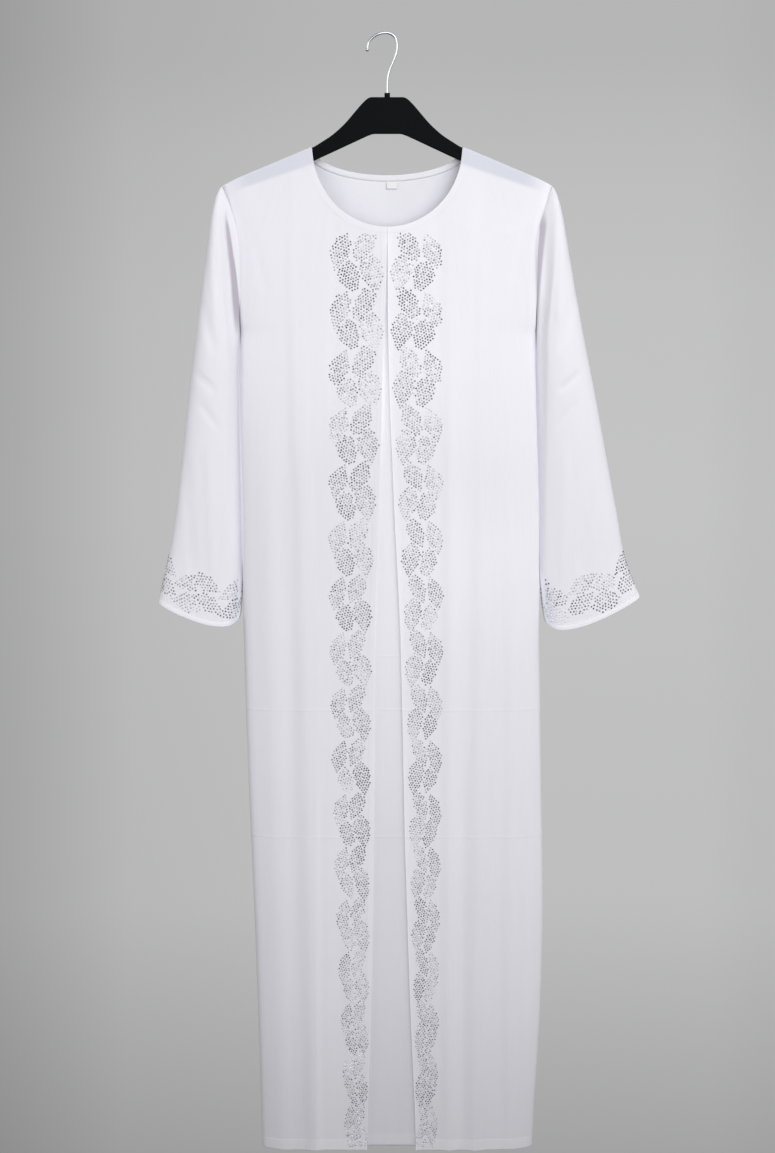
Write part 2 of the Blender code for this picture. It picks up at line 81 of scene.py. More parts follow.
# Neck, armholes and hems
FRONT_NECK_DROP = 0.1043
BACK_NECK_DROP = 0.0369
UNDERARM_Z = -0.385
ARMHOLE_STRAIGHT_Z = -0.29
ARMHOLE_DEPTH = 0.025
ARMHOLE_TOP_FULLNESS = 0.50
FILL_OUT = 0.42
HEM_Z = -1.5465
INNER_HEM_Z = -1.5413
GARMENT_LENGTH = 1.40
SIDE_ROUNDNESS = 5
NECK_SHARE = 0.5

# Body form below the arms: half widths to each side, and depths to the front and to the back
Section = namedtuple("Section", "z left right front back")
BODY = table_of(
    Section,
    (-0.385, 0.1965, 0.1992, 0.0400, 0.0400),
    (-0.460, 0.1985, 0.2005, 0.0410, 0.0420),
    (-0.620, 0.1972, 0.2058, 0.0400, 0.0440),
    (-0.810, 0.1968, 0.2093, 0.0380, 0.0470),
    (-1.000, 0.1930, 0.2140, 0.0360, 0.0500),
    (-1.200, 0.1870, 0.2190, 0.0345, 0.0530),
    (-1.360, 0.1830, 0.2164, 0.0330, 0.0550),
    (-1.5465, 0.1800, 0.2080, 0.0320, 0.0570),
)

# Front edges of the two outer fronts, and side edges of the panel behind the opening
Opening = namedtuple("Opening", "z left right")
OPENING = table_of(
    Opening,
    (-0.240, -0.0005, 0.0003),
    (-0.305, -0.0010, 0.0005),
    (-0.396, -0.0050, 0.0014),
    (-0.550, -0.0083, 0.0064),
    (-0.800, -0.0166, 0.0178),
    (-1.100, -0.0192, 0.0247),
    (-1.315, -0.0227, 0.0319),
    (-1.5465, -0.0288, 0.0409),
)
INNER_EDGES = table_of(
    Opening,
    (-0.385, -0.1150, 0.1180),
    (-0.550, -0.1080, 0.1190),
    (-0.830, -0.0980, 0.1205),
    (-1.060, -0.1000, 0.1090),
    (-1.5413, -0.1025, 0.1110),
)
INNER_TOP_X = 0.1280
INNER_DEPTH = 0.0022
INNER_FREE = 0.14

# Long soft folds: where each starts and ends, its half width and how far it stands out
Fold = namedtuple("Fold", "x_top x_hem z_top width height")
FRONT_FOLDS = table_of(
    Fold,
    (-0.165, -0.150, -0.42, 0.022, 0.0045),
    (-0.118, -0.104, -0.30, 0.016, 0.0030),
    (0.084, 0.088, -0.30, 0.014, 0.0028),
    (0.128, 0.126, -0.48, 0.018, 0.0040),
    (0.172, 0.180, -0.55, 0.018, 0.0045),
)
BACK_FOLDS = table_of(
    Fold,
    (-0.150, -0.142, -0.34, 0.024, 0.0080),
    (-0.090, -0.082, -0.50, 0.020, 0.0065),
    (-0.020, -0.026, -0.30, 0.024, 0.0090),
    (0.048, 0.046, -0.58, 0.019, 0.0060),
    (0.105, 0.110, -0.36, 0.022, 0.0085),
    (0.165, 0.172, -0.52, 0.020, 0.0065),
)
FOLD_FADE = 0.30
FOLD_SIDE_FADE = 4

# Creases that only the thin cloth shows: a soft line from one place to another, ridge or trough
Crease = namedtuple("Crease", "x z x_end z_end width height")
FRONT_CREASES = table_of(
    Crease,
    (-0.128, -0.205, -0.124, -0.62, 0.010, 0.0012),
    (-0.069, -0.215, -0.071, -0.52, 0.012, -0.0009),
    (0.069, -0.205, 0.070, -0.46, 0.011, -0.0010),
    (0.126, -0.230, 0.121, -0.70, 0.012, 0.0010),
    (-0.188, -0.235, -0.160, -0.345, 0.012, -0.0022),
    (0.190, -0.232, 0.168, -0.330, 0.011, -0.0018),
    (0.196, -0.245, 0.150, -0.262, 0.008, 0.0012),
    (-0.090, -0.900, -0.098, -1.540, 0.012, -0.0012),
    (0.100, -0.860, 0.104, -1.540, 0.012, -0.0014),
    (0.150, -1.020, 0.158, -1.540, 0.014, -0.0014),
    (-0.060, -1.150, -0.046, -1.540, 0.010, 0.0010),
    (-0.135, -0.620, -0.128, -1.400, 0.011, -0.0013),
)
BACK_CREASES = table_of(
    Crease,
    (-0.055, -0.190, -0.062, -0.56, 0.013, -0.0016),
    (0.030, -0.188, 0.024, -0.60, 0.012, 0.0014),
    (0.082, -0.210, 0.090, -0.50, 0.012, -0.0014),
    (-0.185, -0.240, -0.150, -0.360, 0.013, -0.0022),
    (0.186, -0.238, 0.156, -0.350, 0.012, -0.0020),
    (-0.120, -0.860, -0.114, -1.540, 0.012, -0.0018),
    (0.010, -0.800, 0.012, -1.540, 0.012, -0.0016),
    (0.076, -0.960, 0.078, -1.540, 0.011, -0.0014),
)
SLEEVE_CREASES = table_of(
    Crease,
    (0.2215, -0.215, 0.2045, -0.410, 0.0075, -0.0070),
    (0.2050, -0.330, 0.2060, -0.700, 0.0090, -0.0080),
    (0.262, -0.437, 0.226, -0.467, 0.007, -0.0016),
    (0.252, -0.330, 0.228, -0.420, 0.010, -0.0014),
    (0.236, -0.250, 0.226, -0.390, 0.009, 0.0014),
    (0.275, -0.520, 0.262, -0.740, 0.011, -0.0010),
    (0.240, -0.520, 0.236, -0.745, 0.011, 0.0012),
    (0.255, -0.475, 0.222, -0.520, 0.008, -0.0010),
)

# Sleeves: outer line, gap to the body's side, inner line's height, half depth and its middle,
# and how far the edge hangs down between the two lines
Ring = namedtuple("Ring", "outer_x outer_z gap inner_z depth middle sag")
LEFT_SLEEVE = table_of(
    Ring,
    (0.2198, -0.1957, 0.0006, -0.385, 0.0260, 0.000, 0.000),
    (0.2303, -0.2150, 0.0020, -0.397, 0.0300, 0.002, 0.000),
    (0.2420, -0.2900, 0.0022, -0.418, 0.0380, 0.006, 0.000),
    (0.2540, -0.3720, 0.0020, -0.455, 0.0420, 0.007, 0.000),
    (0.2680, -0.4750, 0.0018, -0.515, 0.0400, 0.006, 0.000),
    (0.2780, -0.5560, 0.0018, -0.583, 0.0360, 0.004, 0.004),
    (0.2880, -0.6320, 0.0020, -0.648, 0.0320, 0.002, 0.020),
    (0.2980, -0.6900, 0.0024, -0.698, 0.0285, 0.000, 0.046),
    (0.3138, -0.7557, 0.0030, -0.750, 0.0270, -0.002, 0.066),
)
RIGHT_SLEEVE = table_of(
    Ring,
    (0.2198, -0.1957, 0.0006, -0.385, 0.0260, 0.000, 0.000),
    (0.2297, -0.2169, 0.0020, -0.397, 0.0300, 0.002, 0.000),
    (0.2443, -0.2951, 0.0022, -0.418, 0.0380, 0.006, 0.000),
    (0.2618, -0.3854, 0.0020, -0.455, 0.0420, 0.007, 0.000),
    (0.2793, -0.4673, 0.0018, -0.515, 0.0400, 0.006, 0.000),
    (0.2960, -0.5510, 0.0018, -0.583, 0.0360, 0.004, 0.004),
    (0.3120, -0.6300, 0.0020, -0.648, 0.0320, 0.002, 0.020),
    (0.3250, -0.6950, 0.0030, -0.698, 0.0285, 0.000, 0.046),
    (0.3461, -0.7473, 0.0060, -0.752, 0.0270, -0.002, 0.075),
)
SLEEVE_SEAM = -0.0004
SLEEVE_CUT_BLEND = 0.18
SAG_END = 0.25
SLEEVE_ROUNDNESS = 0.42
SIDE_GAP = 0.0011
GAP_END = (-0.74, -0.785)
GAP_LIGHT = (1.0, 0.62)
OPENING_LIGHT_Z = -0.47
SLEEVE_SHADE = 0.016
CLOTH_GAP = 0.38
BACK_SAG_MORE = 0.12
SLEEVE_SHADE_DEPTH = (0.62, 0.10)
CUFF_SHADE = 0.75
CUFF_EDGE_LIGHT = 0.5

# Painted shade of the slim dark wedge where each sleeve hangs away from its armhole: its inner and outer
# edges
ArmWedge = namedtuple("ArmWedge", "z left_in left_out right_in right_out")
ARM_WEDGE = table_of(
    ArmWedge,
    (-0.2200, 0.2135, 0.2145, 0.2060, 0.2095),
    (-0.2465, 0.2100, 0.2140, 0.2030, 0.2105),
    (-0.2790, 0.2047, 0.2113, 0.2000, 0.2075),
    (-0.3120, 0.2000, 0.2080, 0.1992, 0.2045),
    (-0.3445, 0.1973, 0.2060, 0.1992, 0.2022),
    (-0.3770, 0.1965, 0.2033, 0.1992, 0.2008),
    (-0.4100, 0.1965, 0.2007, 0.1992, 0.1998),
)

# Layers that show in the cloth's colour, from 0 for one to 1 for two; pairs are left and right.
# The same share also carries painted light and shade. The fronts' base share paints the right front
# lighter than the left, with a band of painted light on the right front at the hips. The share of
# the panel behind is partly that layer and partly painted light, growing lower down and larger at
# the left. The sleeves' share fades out towards the shoulder, which is painted shade there. The
# arm shade is a painted shade on the left front beside the armhole, with its reach.
FRONT_PAINTED_LIGHT = (0.03, 0.32)
PANEL_LAYERS = 0.08
PANEL_LAYERS_AND_LIGHT_LOW = (0.45, 0.10)
HEM_LAYERS = 0.4
EDGE_SHOWS = 0.45
NECK_SHOWS = 0.30
SEAM_SHOWS = 0.5
SLEEVE_LAYERS = 0.3
BACK_LAYERS = 0.3
BACK_HEM_LAYERS = 0.5
RIGHT_PAINTED_LIGHT = 0.35
RIGHT_PAINTED_LIGHT_Z = -0.70
RIGHT_PAINTED_LIGHT_REACH = 0.10
# How fast the inner panel's colour darkens from its top downwards
INNER_DARKER_DOWN = 1.55
ARM_SHADE = 0.14
ARM_SHADE_REACH = 0.02

# Shadow of the hanger's arm behind the cloth: its lower edge, where it ends and how dark it is.
# The inside of the back, seen through the neck, gets a painted bluish shade, more towards its sides.
HANGER_EDGE_X = 0.106
HANGER_EDGE_Z = -0.1696
HANGER_EDGE_SLOPE = 0.335
HANGER_END_X = 0.214
HANGER_SHADE = 0.85
BACK_INSIDE = 0.10
BACK_INSIDE_MORE = 0.30
BACK_INSIDE_FROM = 0.045

# Light that seeps in beside the front edges, and its reach in front of and behind them
EDGE_LIGHT = 0.22
EDGE_LIGHT_MORE = 0.16
EDGE_LIGHT_REACH = 0.0010
PANEL_LIGHT = 1.2
PANEL_LIGHT_REACH = 0.004

# Stone border: its edges down each front, and the four leaves of one repeat
BORDER = table_of(
    Opening,
    (-0.250, -0.0042, 0.0037),
    (-0.385, -0.0046, 0.0040),
    (-0.560, -0.0120, 0.0120),
    (-0.746, -0.0206, 0.0227),
    (-1.130, -0.0245, 0.0330),
    (-1.5465, -0.0292, 0.0428),
)
BORDER_OUT = table_of(
    Opening,
    (-0.250, -0.0760, 0.0732),
    (-0.385, -0.0772, 0.0737),
    (-0.746, -0.0787, 0.0754),
    (-1.130, -0.0720, 0.0731),
    (-1.5465, -0.0592, 0.0704),
)
BORDER_TOP = -0.2570
BORDER_END = -1.5415
FIRST_LOBE_Z = -0.2910
FULL_BORDER = 0.0700
Leaf = namedtuple("Leaf", "across down mid_across mid_down end_across end_down half_width")
LEAVES = table_of(
    Leaf,
    (0.22, -0.53, 0.36, -0.24, 0.53, 0.06, 0.0128),
    (0.68, -0.43, 0.82, -0.10, 0.90, 0.19, 0.0124),
    (0.35, -0.11, 0.22, 0.22, 0.15, 0.56, 0.0144),
    (0.72, 0.01, 0.64, 0.28, 0.52, 0.56, 0.0136),
)
PALE_LEAF = 1
LOBE_MIDDLE = 0.11
MOST_ABREAST = 4

# Tints of the stones, from 0 for the darkest to 1 for the palest
LEAF_TINT = 0.46
PALE_LEAF_MORE = 0.08
LEAF_TINT_VARIES = 0.06
STONE_TINT_VARIES = 0.23
INNER_STONES_MORE = 0.20
STEEPEST_LEAN = 15
TOP_DEEPER = 0.10
LOW_DEEPER = 0.09
LOW_REPEAT = 10
RIGHT_DEEPER = 0.14

# How the stones are set: least gap in pitches, how far they stray and tip, how deep they sit
LEAST_GAP = 0.82
STRAY = 0.00036
TIP = 0.06
SIZE_VARIES = (0.92, 1.06)
SUNK = 0.0001

# Cuff border: repeats round the cuff, lower edge and width, the share of the way round where a
# lobe's middle lies, and the wider pitch. Where the cuff is turned in, past this cosine, stones show
# only up to the inner height. The ring row is the one whose length counts as the way round.
CUFF_REPEATS = 5
CUFF_BORDER_LOW = 0.0080
CUFF_BORDER_WIDTH = 0.0600
CUFF_LOBE = 0.842
CUFF_PITCH = 1.15
CUFF_TURNED_IN = 0.90
CUFF_INNER_HEIGHT = 0.025
RING_ROW = 26

# Sewing: turned hems and how far the stitches lie from each edge
HEM_THICK = 0.0004
HEM_DIP = 0.0009
EDGE_ROLL = 0.0006
EDGE_ROLL_REACH = 0.0025
EDGE_HEM_TOP = -0.262
SEAM_TURNED = 0.010
INNER_TURNED = 0.006
INNER_HEM = 0.02
NECK_SEWN = 0.94
FACING_SEWN = 0.92
BACK_HEM_FROM = -0.172
BACK_HEM_WIDTH = 0.372
NECK_STITCH = 0.0080
EDGE_STITCH = 0.0072
HEM_STITCH = 0.0160
HEM_STITCH_FROM = 0.0450
CUFF_STITCH = 0.0080
CUFF_RING = 0.0600
STITCH_TOP = -0.2580
STITCH_RADIUS = 0.00018
PACKAGE_CREASE = 0.0016

# Back neck facing, size label and hook
FACING_WIDTH = 0.0080
FACING_REACH = 0.93
LABEL_WIDTH = 0.0140
LABEL_HEIGHT = 0.0090
LABEL_THICK = 0.0006
LABEL_WALL = 0.0005
LABEL_X = 0.0062
LABEL_DROP = 0.0009
WIRE_RADIUS = 0.0018
TIP_BALL_RADIUS = 0.0026
HOOK_ROUTE = (
    (-0.0262, -0.0195),
    (-0.0238, -0.0090),
    (-0.0130, -0.0003),
    (0.0000, 0.0018),
    (0.0094, -0.0028),
    (0.0128, -0.0125),
    (0.0118, -0.0235),
    (0.0075, -0.0350),
    (0.0030, -0.0455),
    (0.0004, -0.0560),
    (0.0000, -0.0680),
    (0.0000, -0.0900),
)

# Camera and stage
CAMERA_PLACE = (0.00039, -2.705, -0.2567)
CAMERA_TILT = radians(90 - 9.75)
FOCAL_PIXELS = 2000
PHOTO_HEIGHT = 1153
SENSOR = 36.0
FLOOR_RADIUS = 0.85
FLOOR_Y = -0.25
WALL_LEVELS = (
    (0.0, 0.12), (0.2, 0.16), (0.27, 0.33), (0.2935, 0.395), (0.338, 0.515), (0.385, 0.530),
    (0.434, 0.550), (0.4835, 0.540), (0.52, 0.508), (0.541, 0.470), (0.60, 0.45), (1.0, 0.60),
)
# Painted shade in the cloth's colour: darker towards the hem, by height as a share of the length
HEM_PAINTED_SHADE = ((0.0, 0.71), (0.063, 0.765), (0.18, 0.875), (0.30, 0.94), (0.40, 0.975), (0.55, 1.0))
WALL_SIDES = ((0.30, 0.70), (0.318, 0.735), (0.373, 0.92), (0.47, 1.0), (0.656, 1.0), (0.68, 0.96))


def color_setting(name, description, default):
    """A colour that a user can change."""
    return FloatVectorProperty(
        name=name, description=description, subtype="COLOR", size=3, min=0, max=1, default=default)


def length_setting(name, description, low, high, default):
    """A length that a user can change."""
    return FloatProperty(
        name=name, description=description, unit="LENGTH", min=low, max=high, default=default)


def power_setting(name, description, default):
    """The strength of a light."""
    return FloatProperty(name=name, description=description, unit="POWER", min=0, default=default)


class ClothSettings(bpy.types.PropertyGroup):
    """Colours and weave of the crepe, with the colours of its painted shade and painted glow."""
    single: color_setting("Single layer", "Colour of one layer of cloth", (0.805, 0.792, 0.850))
    # Colour over a second layer; painted light on the cloth also mixes towards it
    double: color_setting("Double layer", "Colour over a second layer", (0.905, 0.895, 0.945))
    # Also the colour of painted shade: inside the back, on the neck facing and under the cuffs
    shadow: color_setting("Dark behind", "Colour over something dark", (0.640, 0.660, 0.740))
    seep: color_setting("Seeping light", "Light that seeps into narrow gaps", (0.340, 0.345, 0.350))
    fold: color_setting("Fold shade", "Colour deep in a fold at a sleeve", (0.485, 0.455, 0.525))
    thread: color_setting("Thread", "Colour of the sewing thread", (0.820, 0.815, 0.850))
    pitch: length_setting("Thread pitch", "Spacing of the weave's threads", 0.0002, 0.002, 0.00045)
    stitch: length_setting("Stitch length", "Length of one stitch and its gap", 0.001, 0.006, 0.0030)


class BorderSettings(bpy.types.PropertyGroup):
    """Sizes of the stone borders."""
    repeat: length_setting("Repeat", "Length of one repeat of the border", 0.03, 0.15, 0.0763)
    count: IntProperty(
        name="Repeats", description="Repeats down each front edge", min=1, max=30, default=17)
    stone: length_setting("Stone", "Diameter of one stone", 0.001, 0.004, 0.0025)
    pitch: length_setting("Stone pitch", "Spacing of the stones in a leaf", 0.002, 0.008, 0.0039)
    dark: color_setting("Dark stone", "Tint of the darkest stones", (0.115, 0.108, 0.124))
    pale: color_setting("Pale stone", "Tint of the palest stones", (0.84, 0.82, 0.88))
    seed: IntProperty(name="Seed", description="Seed of the stones' small irregularities", default=7)


class StageSettings(bpy.types.PropertyGroup):
    """Light and floor."""
    backdrop: color_setting("Backdrop", "Tint of the studio behind", (0.992, 1.0, 0.994))
    floor: color_setting("Floor", "Colour of the floor", (0.62, 0.62, 0.63))
    key: power_setting("Key light", "Strength of the high front light", 59)
    fill: power_setting("Fill light", "Strength of the side light", 18)
    rim: power_setting("Back light", "Strength of the light behind", 6)
    floor_drop: length_setting("Floor drop", "How far the floor lies below the hem", 0, 3, 0.60)


def smooth(value):
    """Ease from 0 to 1."""
    value = np.clip(value, 0.0, 1.0)
    return value * value * (3 - 2 * value)


def bell(distance, reach):
    """A soft bell curve: 1 at no distance, and next to nothing at twice the reach."""
    return np.exp(-(distance / reach) ** 2)


def turned(distance, width, fade=0.002):
    """Where cloth lies double: from its edge, at distance 0, up to the width of the hem."""
    return smooth((width - distance) / fade)


def running_length(points):
    """How far each point lies from the first one, measured along all of them."""
    return np.append(0, np.cumsum(np.linalg.norm(np.diff(points, axis=0), axis=1)))


def curve(table, place, column, key="z"):
    """A named column of a table read at many places, with a smooth curve through its rows."""
    rows = sorted(table, key=lambda row: getattr(row, key))
    keys = np.array([getattr(row, key) for row in rows])
    values = np.array([getattr(row, column) for row in rows])
    last = len(rows) - 1
    place = np.clip(place, keys[0], keys[-1])
    index = np.clip(np.searchsorted(keys, place, side="right") - 1, 0, last - 1)
    share = (place - keys[index]) / (keys[index + 1] - keys[index])
    before, start, end, after = (values[np.clip(index + step, 0, last)] for step in (-1, 0, 1, 2))
    rise_in = (end - before) / 2
    rise_out = (after - start) / 2
    cube = share ** 3
    square = share ** 2
    return (
        start * (2 * cube - 3 * square + 1)
        + rise_in * (cube - 2 * square + share)
        + end * (3 * square - 2 * cube)
        + rise_out * (cube - square)
    )


def by_side(table, z, side):
    """The left or right column of a table at a height, by the sign of side."""
    return np.where(np.asarray(side) < 0, curve(table, z, "left"), curve(table, z, "right"))


def ridge_height(x):
    """Height of the shoulder line over the hanger; level across the neck."""
    beyond = np.maximum(np.abs(x) - NECK_X, 0.0)
    droop = np.maximum(np.abs(x) - TIP_DROOP_FROM, 0.0) / (TIP_X - TIP_DROOP_FROM)
    return NECK_Z - SHOULDER_SLOPE * beyond - TIP_DROOP * droop * droop


def half_width(z, side):
    """Reach of the body to one side: the armhole above the underarm, the section below it."""
    base = np.where(np.asarray(side) < 0, BODY[0].left, BODY[0].right)
    rise = np.clip((z - ARMHOLE_STRAIGHT_Z) / (TIP_Z - ARMHOLE_STRAIGHT_Z), 0, 1)
    return np.where(z <= UNDERARM_Z, by_side(BODY, z, side), base + (TIP_X - base) * rise ** 2)


def armhole_depth(z):
    """Half depth of the armhole seam at a height; nothing at its two ends."""
    share = np.clip((TIP_Z - z) / (TIP_Z - UNDERARM_Z), 0, 1)
    fullness = ARMHOLE_TOP_FULLNESS + (1 - ARMHOLE_TOP_FULLNESS) * share
    return ARMHOLE_DEPTH * (4 * share * (1 - share)) ** 0.7 * fullness


def fold_height(folds, x, z):
    """How far the soft folds stand out at a place."""
    total = 0.0
    for fold in folds:
        run = np.clip((fold.z_top - z) / (fold.z_top - HEM_Z), 0.0, 1.0)
        middle = fold.x_top + (fold.x_hem - fold.x_top) * run
        across = np.clip((x - middle) / fold.width, -1, 1)
        total = total + fold.height * smooth((fold.z_top - z) / FOLD_FADE) * (1 - across * across) ** 2
    return total


def crease_height(creases, x, z):
    """How far the creases stand out at a place; each fades towards its two ends."""
    total = 0.0
    for crease in creases:
        run_x = crease.x_end - crease.x
        run_z = crease.z_end - crease.z
        long = run_x ** 2 + run_z ** 2
        along = ((x - crease.x) * run_x + (z - crease.z) * run_z) / long
        across = ((x - crease.x) * run_z - (z - crease.z) * run_x) / long ** 0.5 / crease.width
        ends = smooth(along * 4) * smooth((1 - along) * 4)
        total = total + crease.height * ends * (1 - np.clip(across, -1, 1) ** 2) ** 2
    return total


def body_y(x, z, facing):
    """Outer surface of the body form; facing is -1 at the front and 1 at the back."""
    reach = half_width(z, x)
    across = np.minimum(np.abs(x) / reach, 1.0)
    drop = np.maximum(ridge_height(x) - z, 0.0)
    full = curve(BODY, z, "front" if facing < 0 else "back")
    depth = RIDGE_HALF + (full - RIDGE_HALF) * smooth(drop / FILL_OUT)
    crown = np.maximum(1 - drop / RIDGE_RADIUS, 0.0)
    depth = depth * (1 - crown ** CROWN_ROUNDNESS) ** (1 / CROWN_ROUNDNESS)
    folds = fold_height(FRONT_FOLDS if facing < 0 else BACK_FOLDS, x, z)
    folds = folds + crease_height(FRONT_CREASES if facing < 0 else BACK_CREASES, x, z)
    depth = depth + folds * (1 - across ** FOLD_SIDE_FADE)
    edge = armhole_depth(z)
    rounded = (1 - across ** SIDE_ROUNDNESS) ** (1 / SIDE_ROUNDNESS)
    y = edge + (depth - edge) * rounded
    return facing * np.maximum(y, RIDGE_SEAM)


def neck_distance(x, z, drop):
    """Distance below a neck edge, which is half an ellipse."""
    flat_x = x / NECK_X
    flat_z = (z - NECK_Z) / drop
    rim = np.sqrt(flat_x ** 2 + flat_z ** 2) + 1e-6
    slope = np.sqrt((flat_x / NECK_X) ** 2 + (flat_z / drop) ** 2) / rim
    return np.where(z < NECK_Z, (rim - 1) / slope, 1.0)


def hem_rise(distance, width):
    """A turned hem's thickness: raised up to its stitch line, with a small dip there."""
    raised = HEM_THICK * smooth((width - distance) / 0.0015 + 1)
    return raised - 0.7 * HEM_THICK * bell(distance - width, HEM_DIP)


def panel_top(share, drop):
    """Top edge of a half panel: the neck curve, then just below the shoulder line to the tip."""
    angle = np.arccos(RIDGE_RADIUS / drop) * share / NECK_SHARE
    x = NECK_X + (TIP_X - NECK_X) * (share - NECK_SHARE) / (1 - NECK_SHARE)
    neck = share <= NECK_SHARE
    return (
        np.where(neck, NECK_X * np.sin(angle), x),
        np.where(neck, NECK_Z - drop * np.cos(angle), ridge_height(x) - RIDGE_RADIUS),
    )


def yoke_point(share, level, side, drop):
    """A place of a half panel between its top edge and the underarm, filled in from its sides."""
    top_x, top_z = panel_top(share, drop)
    underarm = half_width(np.full_like(share, UNDERARM_Z), side)
    seam_z = (1 - level) * (ridge_height(TIP_X) - RIDGE_RADIUS) + level * UNDERARM_Z
    straight_x = TIP_X + (underarm - TIP_X) * level
    low_x = underarm * np.sin(pi / 2 * share)
    x = (1 - level) * top_x + level * low_x + share * (half_width(seam_z, side) - straight_x)
    return x, (1 - level) * top_z + level * UNDERARM_Z


def panel_point(share, row, side, drop, centre):
    """Place of a half panel: rows reach 0 below the shoulder line, 1 at the underarm, 2 at the hem."""
    level = np.clip(row, 0, 1)
    x, z = yoke_point(share, level, side, drop)
    skirt = UNDERARM_Z + (HEM_Z - UNDERARM_Z) * (row - 1)
    x = np.where(row > 1, half_width(skirt, side) * np.sin(pi / 2 * share), x)
    z = np.where(row > 1, skirt, z)
    ridge_x = panel_top(share, drop)[0]
    over = row < 0
    x = np.where(over, ridge_x, x)
    z = np.where(over, ridge_height(ridge_x) - (row + 1) * RIDGE_RADIUS, z)
    x = side * x + np.where(over, 0.0, centre(z) * (1 - share) ** 2)
    missing = over & (share < NECK_SHARE)
    return np.where(missing, np.nan, x), z


def panel_rows(yoke):
    """Stations down a panel: over the shoulder line, so many in the yoke, the skirt and its hem."""
    return spread(
        (-1, -0.9, 2), (-0.9, 0, 3), (0, 0.09, 12), (0.09, 1, yoke), (1, 1.98, 150), (1.98, 2, 12))


def spread(*stretches):
    """Stations in evenly divided stretches, each given as start, end and steps."""
    parts = [np.linspace(start, end, steps, endpoint=False) for start, end, steps in stretches]
    return np.append(np.concatenate(parts), stretches[-1][1])


def cloth_grid(name, across, down, place, flip=False, closed=False):
    """A grid of across by down stations set out by place(across, down), with flat lengths as its UVs."""
    form = bmesh.new()
    bmesh.ops.create_grid(form, x_segments=len(across) - 1, y_segments=len(down) - 1, size=0.5)
    if flip:
        bmesh.ops.reverse_faces(form, faces=form.faces)
    mesh = bpy.data.meshes.new(name)
    form.to_mesh(mesh)
    form.free()
    flat = np.empty(len(mesh.vertices) * 3)
    mesh.vertices.foreach_get("co", flat)
    column = np.rint((flat[0::3] + 0.5) * (len(across) - 1)).astype(int)
    row = np.rint((0.5 - flat[1::3]) * (len(down) - 1)).astype(int)
    points, masks = place(across[column], down[row])
    grid = np.zeros((len(down), len(across), 3))
    grid[row, column] = np.nan_to_num(points, nan=0.0)
    u = np.cumsum(np.linalg.norm(np.diff(grid, axis=1, prepend=grid[:, :1]), axis=2), axis=1)
    v = np.cumsum(np.linalg.norm(np.diff(grid, axis=0, prepend=grid[:1]), axis=2), axis=0)
    mesh.vertices.foreach_set("co", np.nan_to_num(points, nan=9.0).astype(np.float32).ravel())
    corner = np.empty(len(mesh.loops), int)
    mesh.loops.foreach_get("vertex_index", corner)
    flat_uv = np.stack([u[row, column], -v[row, column]], axis=1)[corner]
    mesh.uv_layers.new(name="UVMap").data.foreach_set("uv", flat_uv.astype(np.float32).ravel())
    for label, values in masks.items():
        layer = mesh.attributes.new(label, "FLOAT", "POINT")
        ones = np.ones(len(mesh.vertices), np.float32)
        layer.data.foreach_set("value", np.asarray(values, np.float32) * ones)
    lost = np.isnan(points).any(axis=1)
    if lost.any() or closed:
        form = bmesh.new()
        form.from_mesh(mesh)
        form.verts.ensure_lookup_table()
        if closed:
            bmesh.ops.remove_doubles(form, verts=form.verts, dist=1e-6)
        else:
            gone = [form.verts[index] for index in np.flatnonzero(lost)]
            bmesh.ops.delete(form, geom=gone, context="VERTS")
        form.to_mesh(mesh)
        form.free()
    mesh.shade_smooth()
    return mesh


def show(data):
    """Put a mesh, a lamp or a camera into the scene under its own name."""
    thing = bpy.data.objects.new(data.name, data)
    bpy.context.scene.collection.objects.link(thing)
    return thing


def add_piece(mesh, material, slot, *nodes):
    """Show a finished mesh as a piece that moves with the part and stands for its CAD nodes."""
    piece = show(mesh)
    mesh.materials.append(material)
    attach(piece, "root")
    if nodes:
        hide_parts(*nodes)
    return piece


def add_cloth(mesh, material, node, thickness=WALL, slot="cloth"):
    """Show a cloth surface as the piece for a CAD node, and give it its thickness, inwards."""
    piece = add_piece(mesh, material, slot, node)
    wall = piece.modifiers.new("cloth wall", "SOLIDIFY")
    wall.thickness = thickness
    wall.offset = -1
    wall.use_even_offset = True
    return piece


class Link:
    """A value in a material; arithmetic on it adds Math nodes."""

    def __init__(self, finish, socket):
        self.finish = finish
        self.socket = socket

    def __add__(self, other):
        return self.finish.maths("ADD", self, other)

    def __sub__(self, other):
        return self.finish.maths("SUBTRACT", self, other)

    def __rsub__(self, other):
        return self.finish.maths("SUBTRACT", other, self)

    def __mul__(self, other):
        return self.finish.maths("MULTIPLY", self, other)

    __radd__ = __add__
    __rmul__ = __mul__


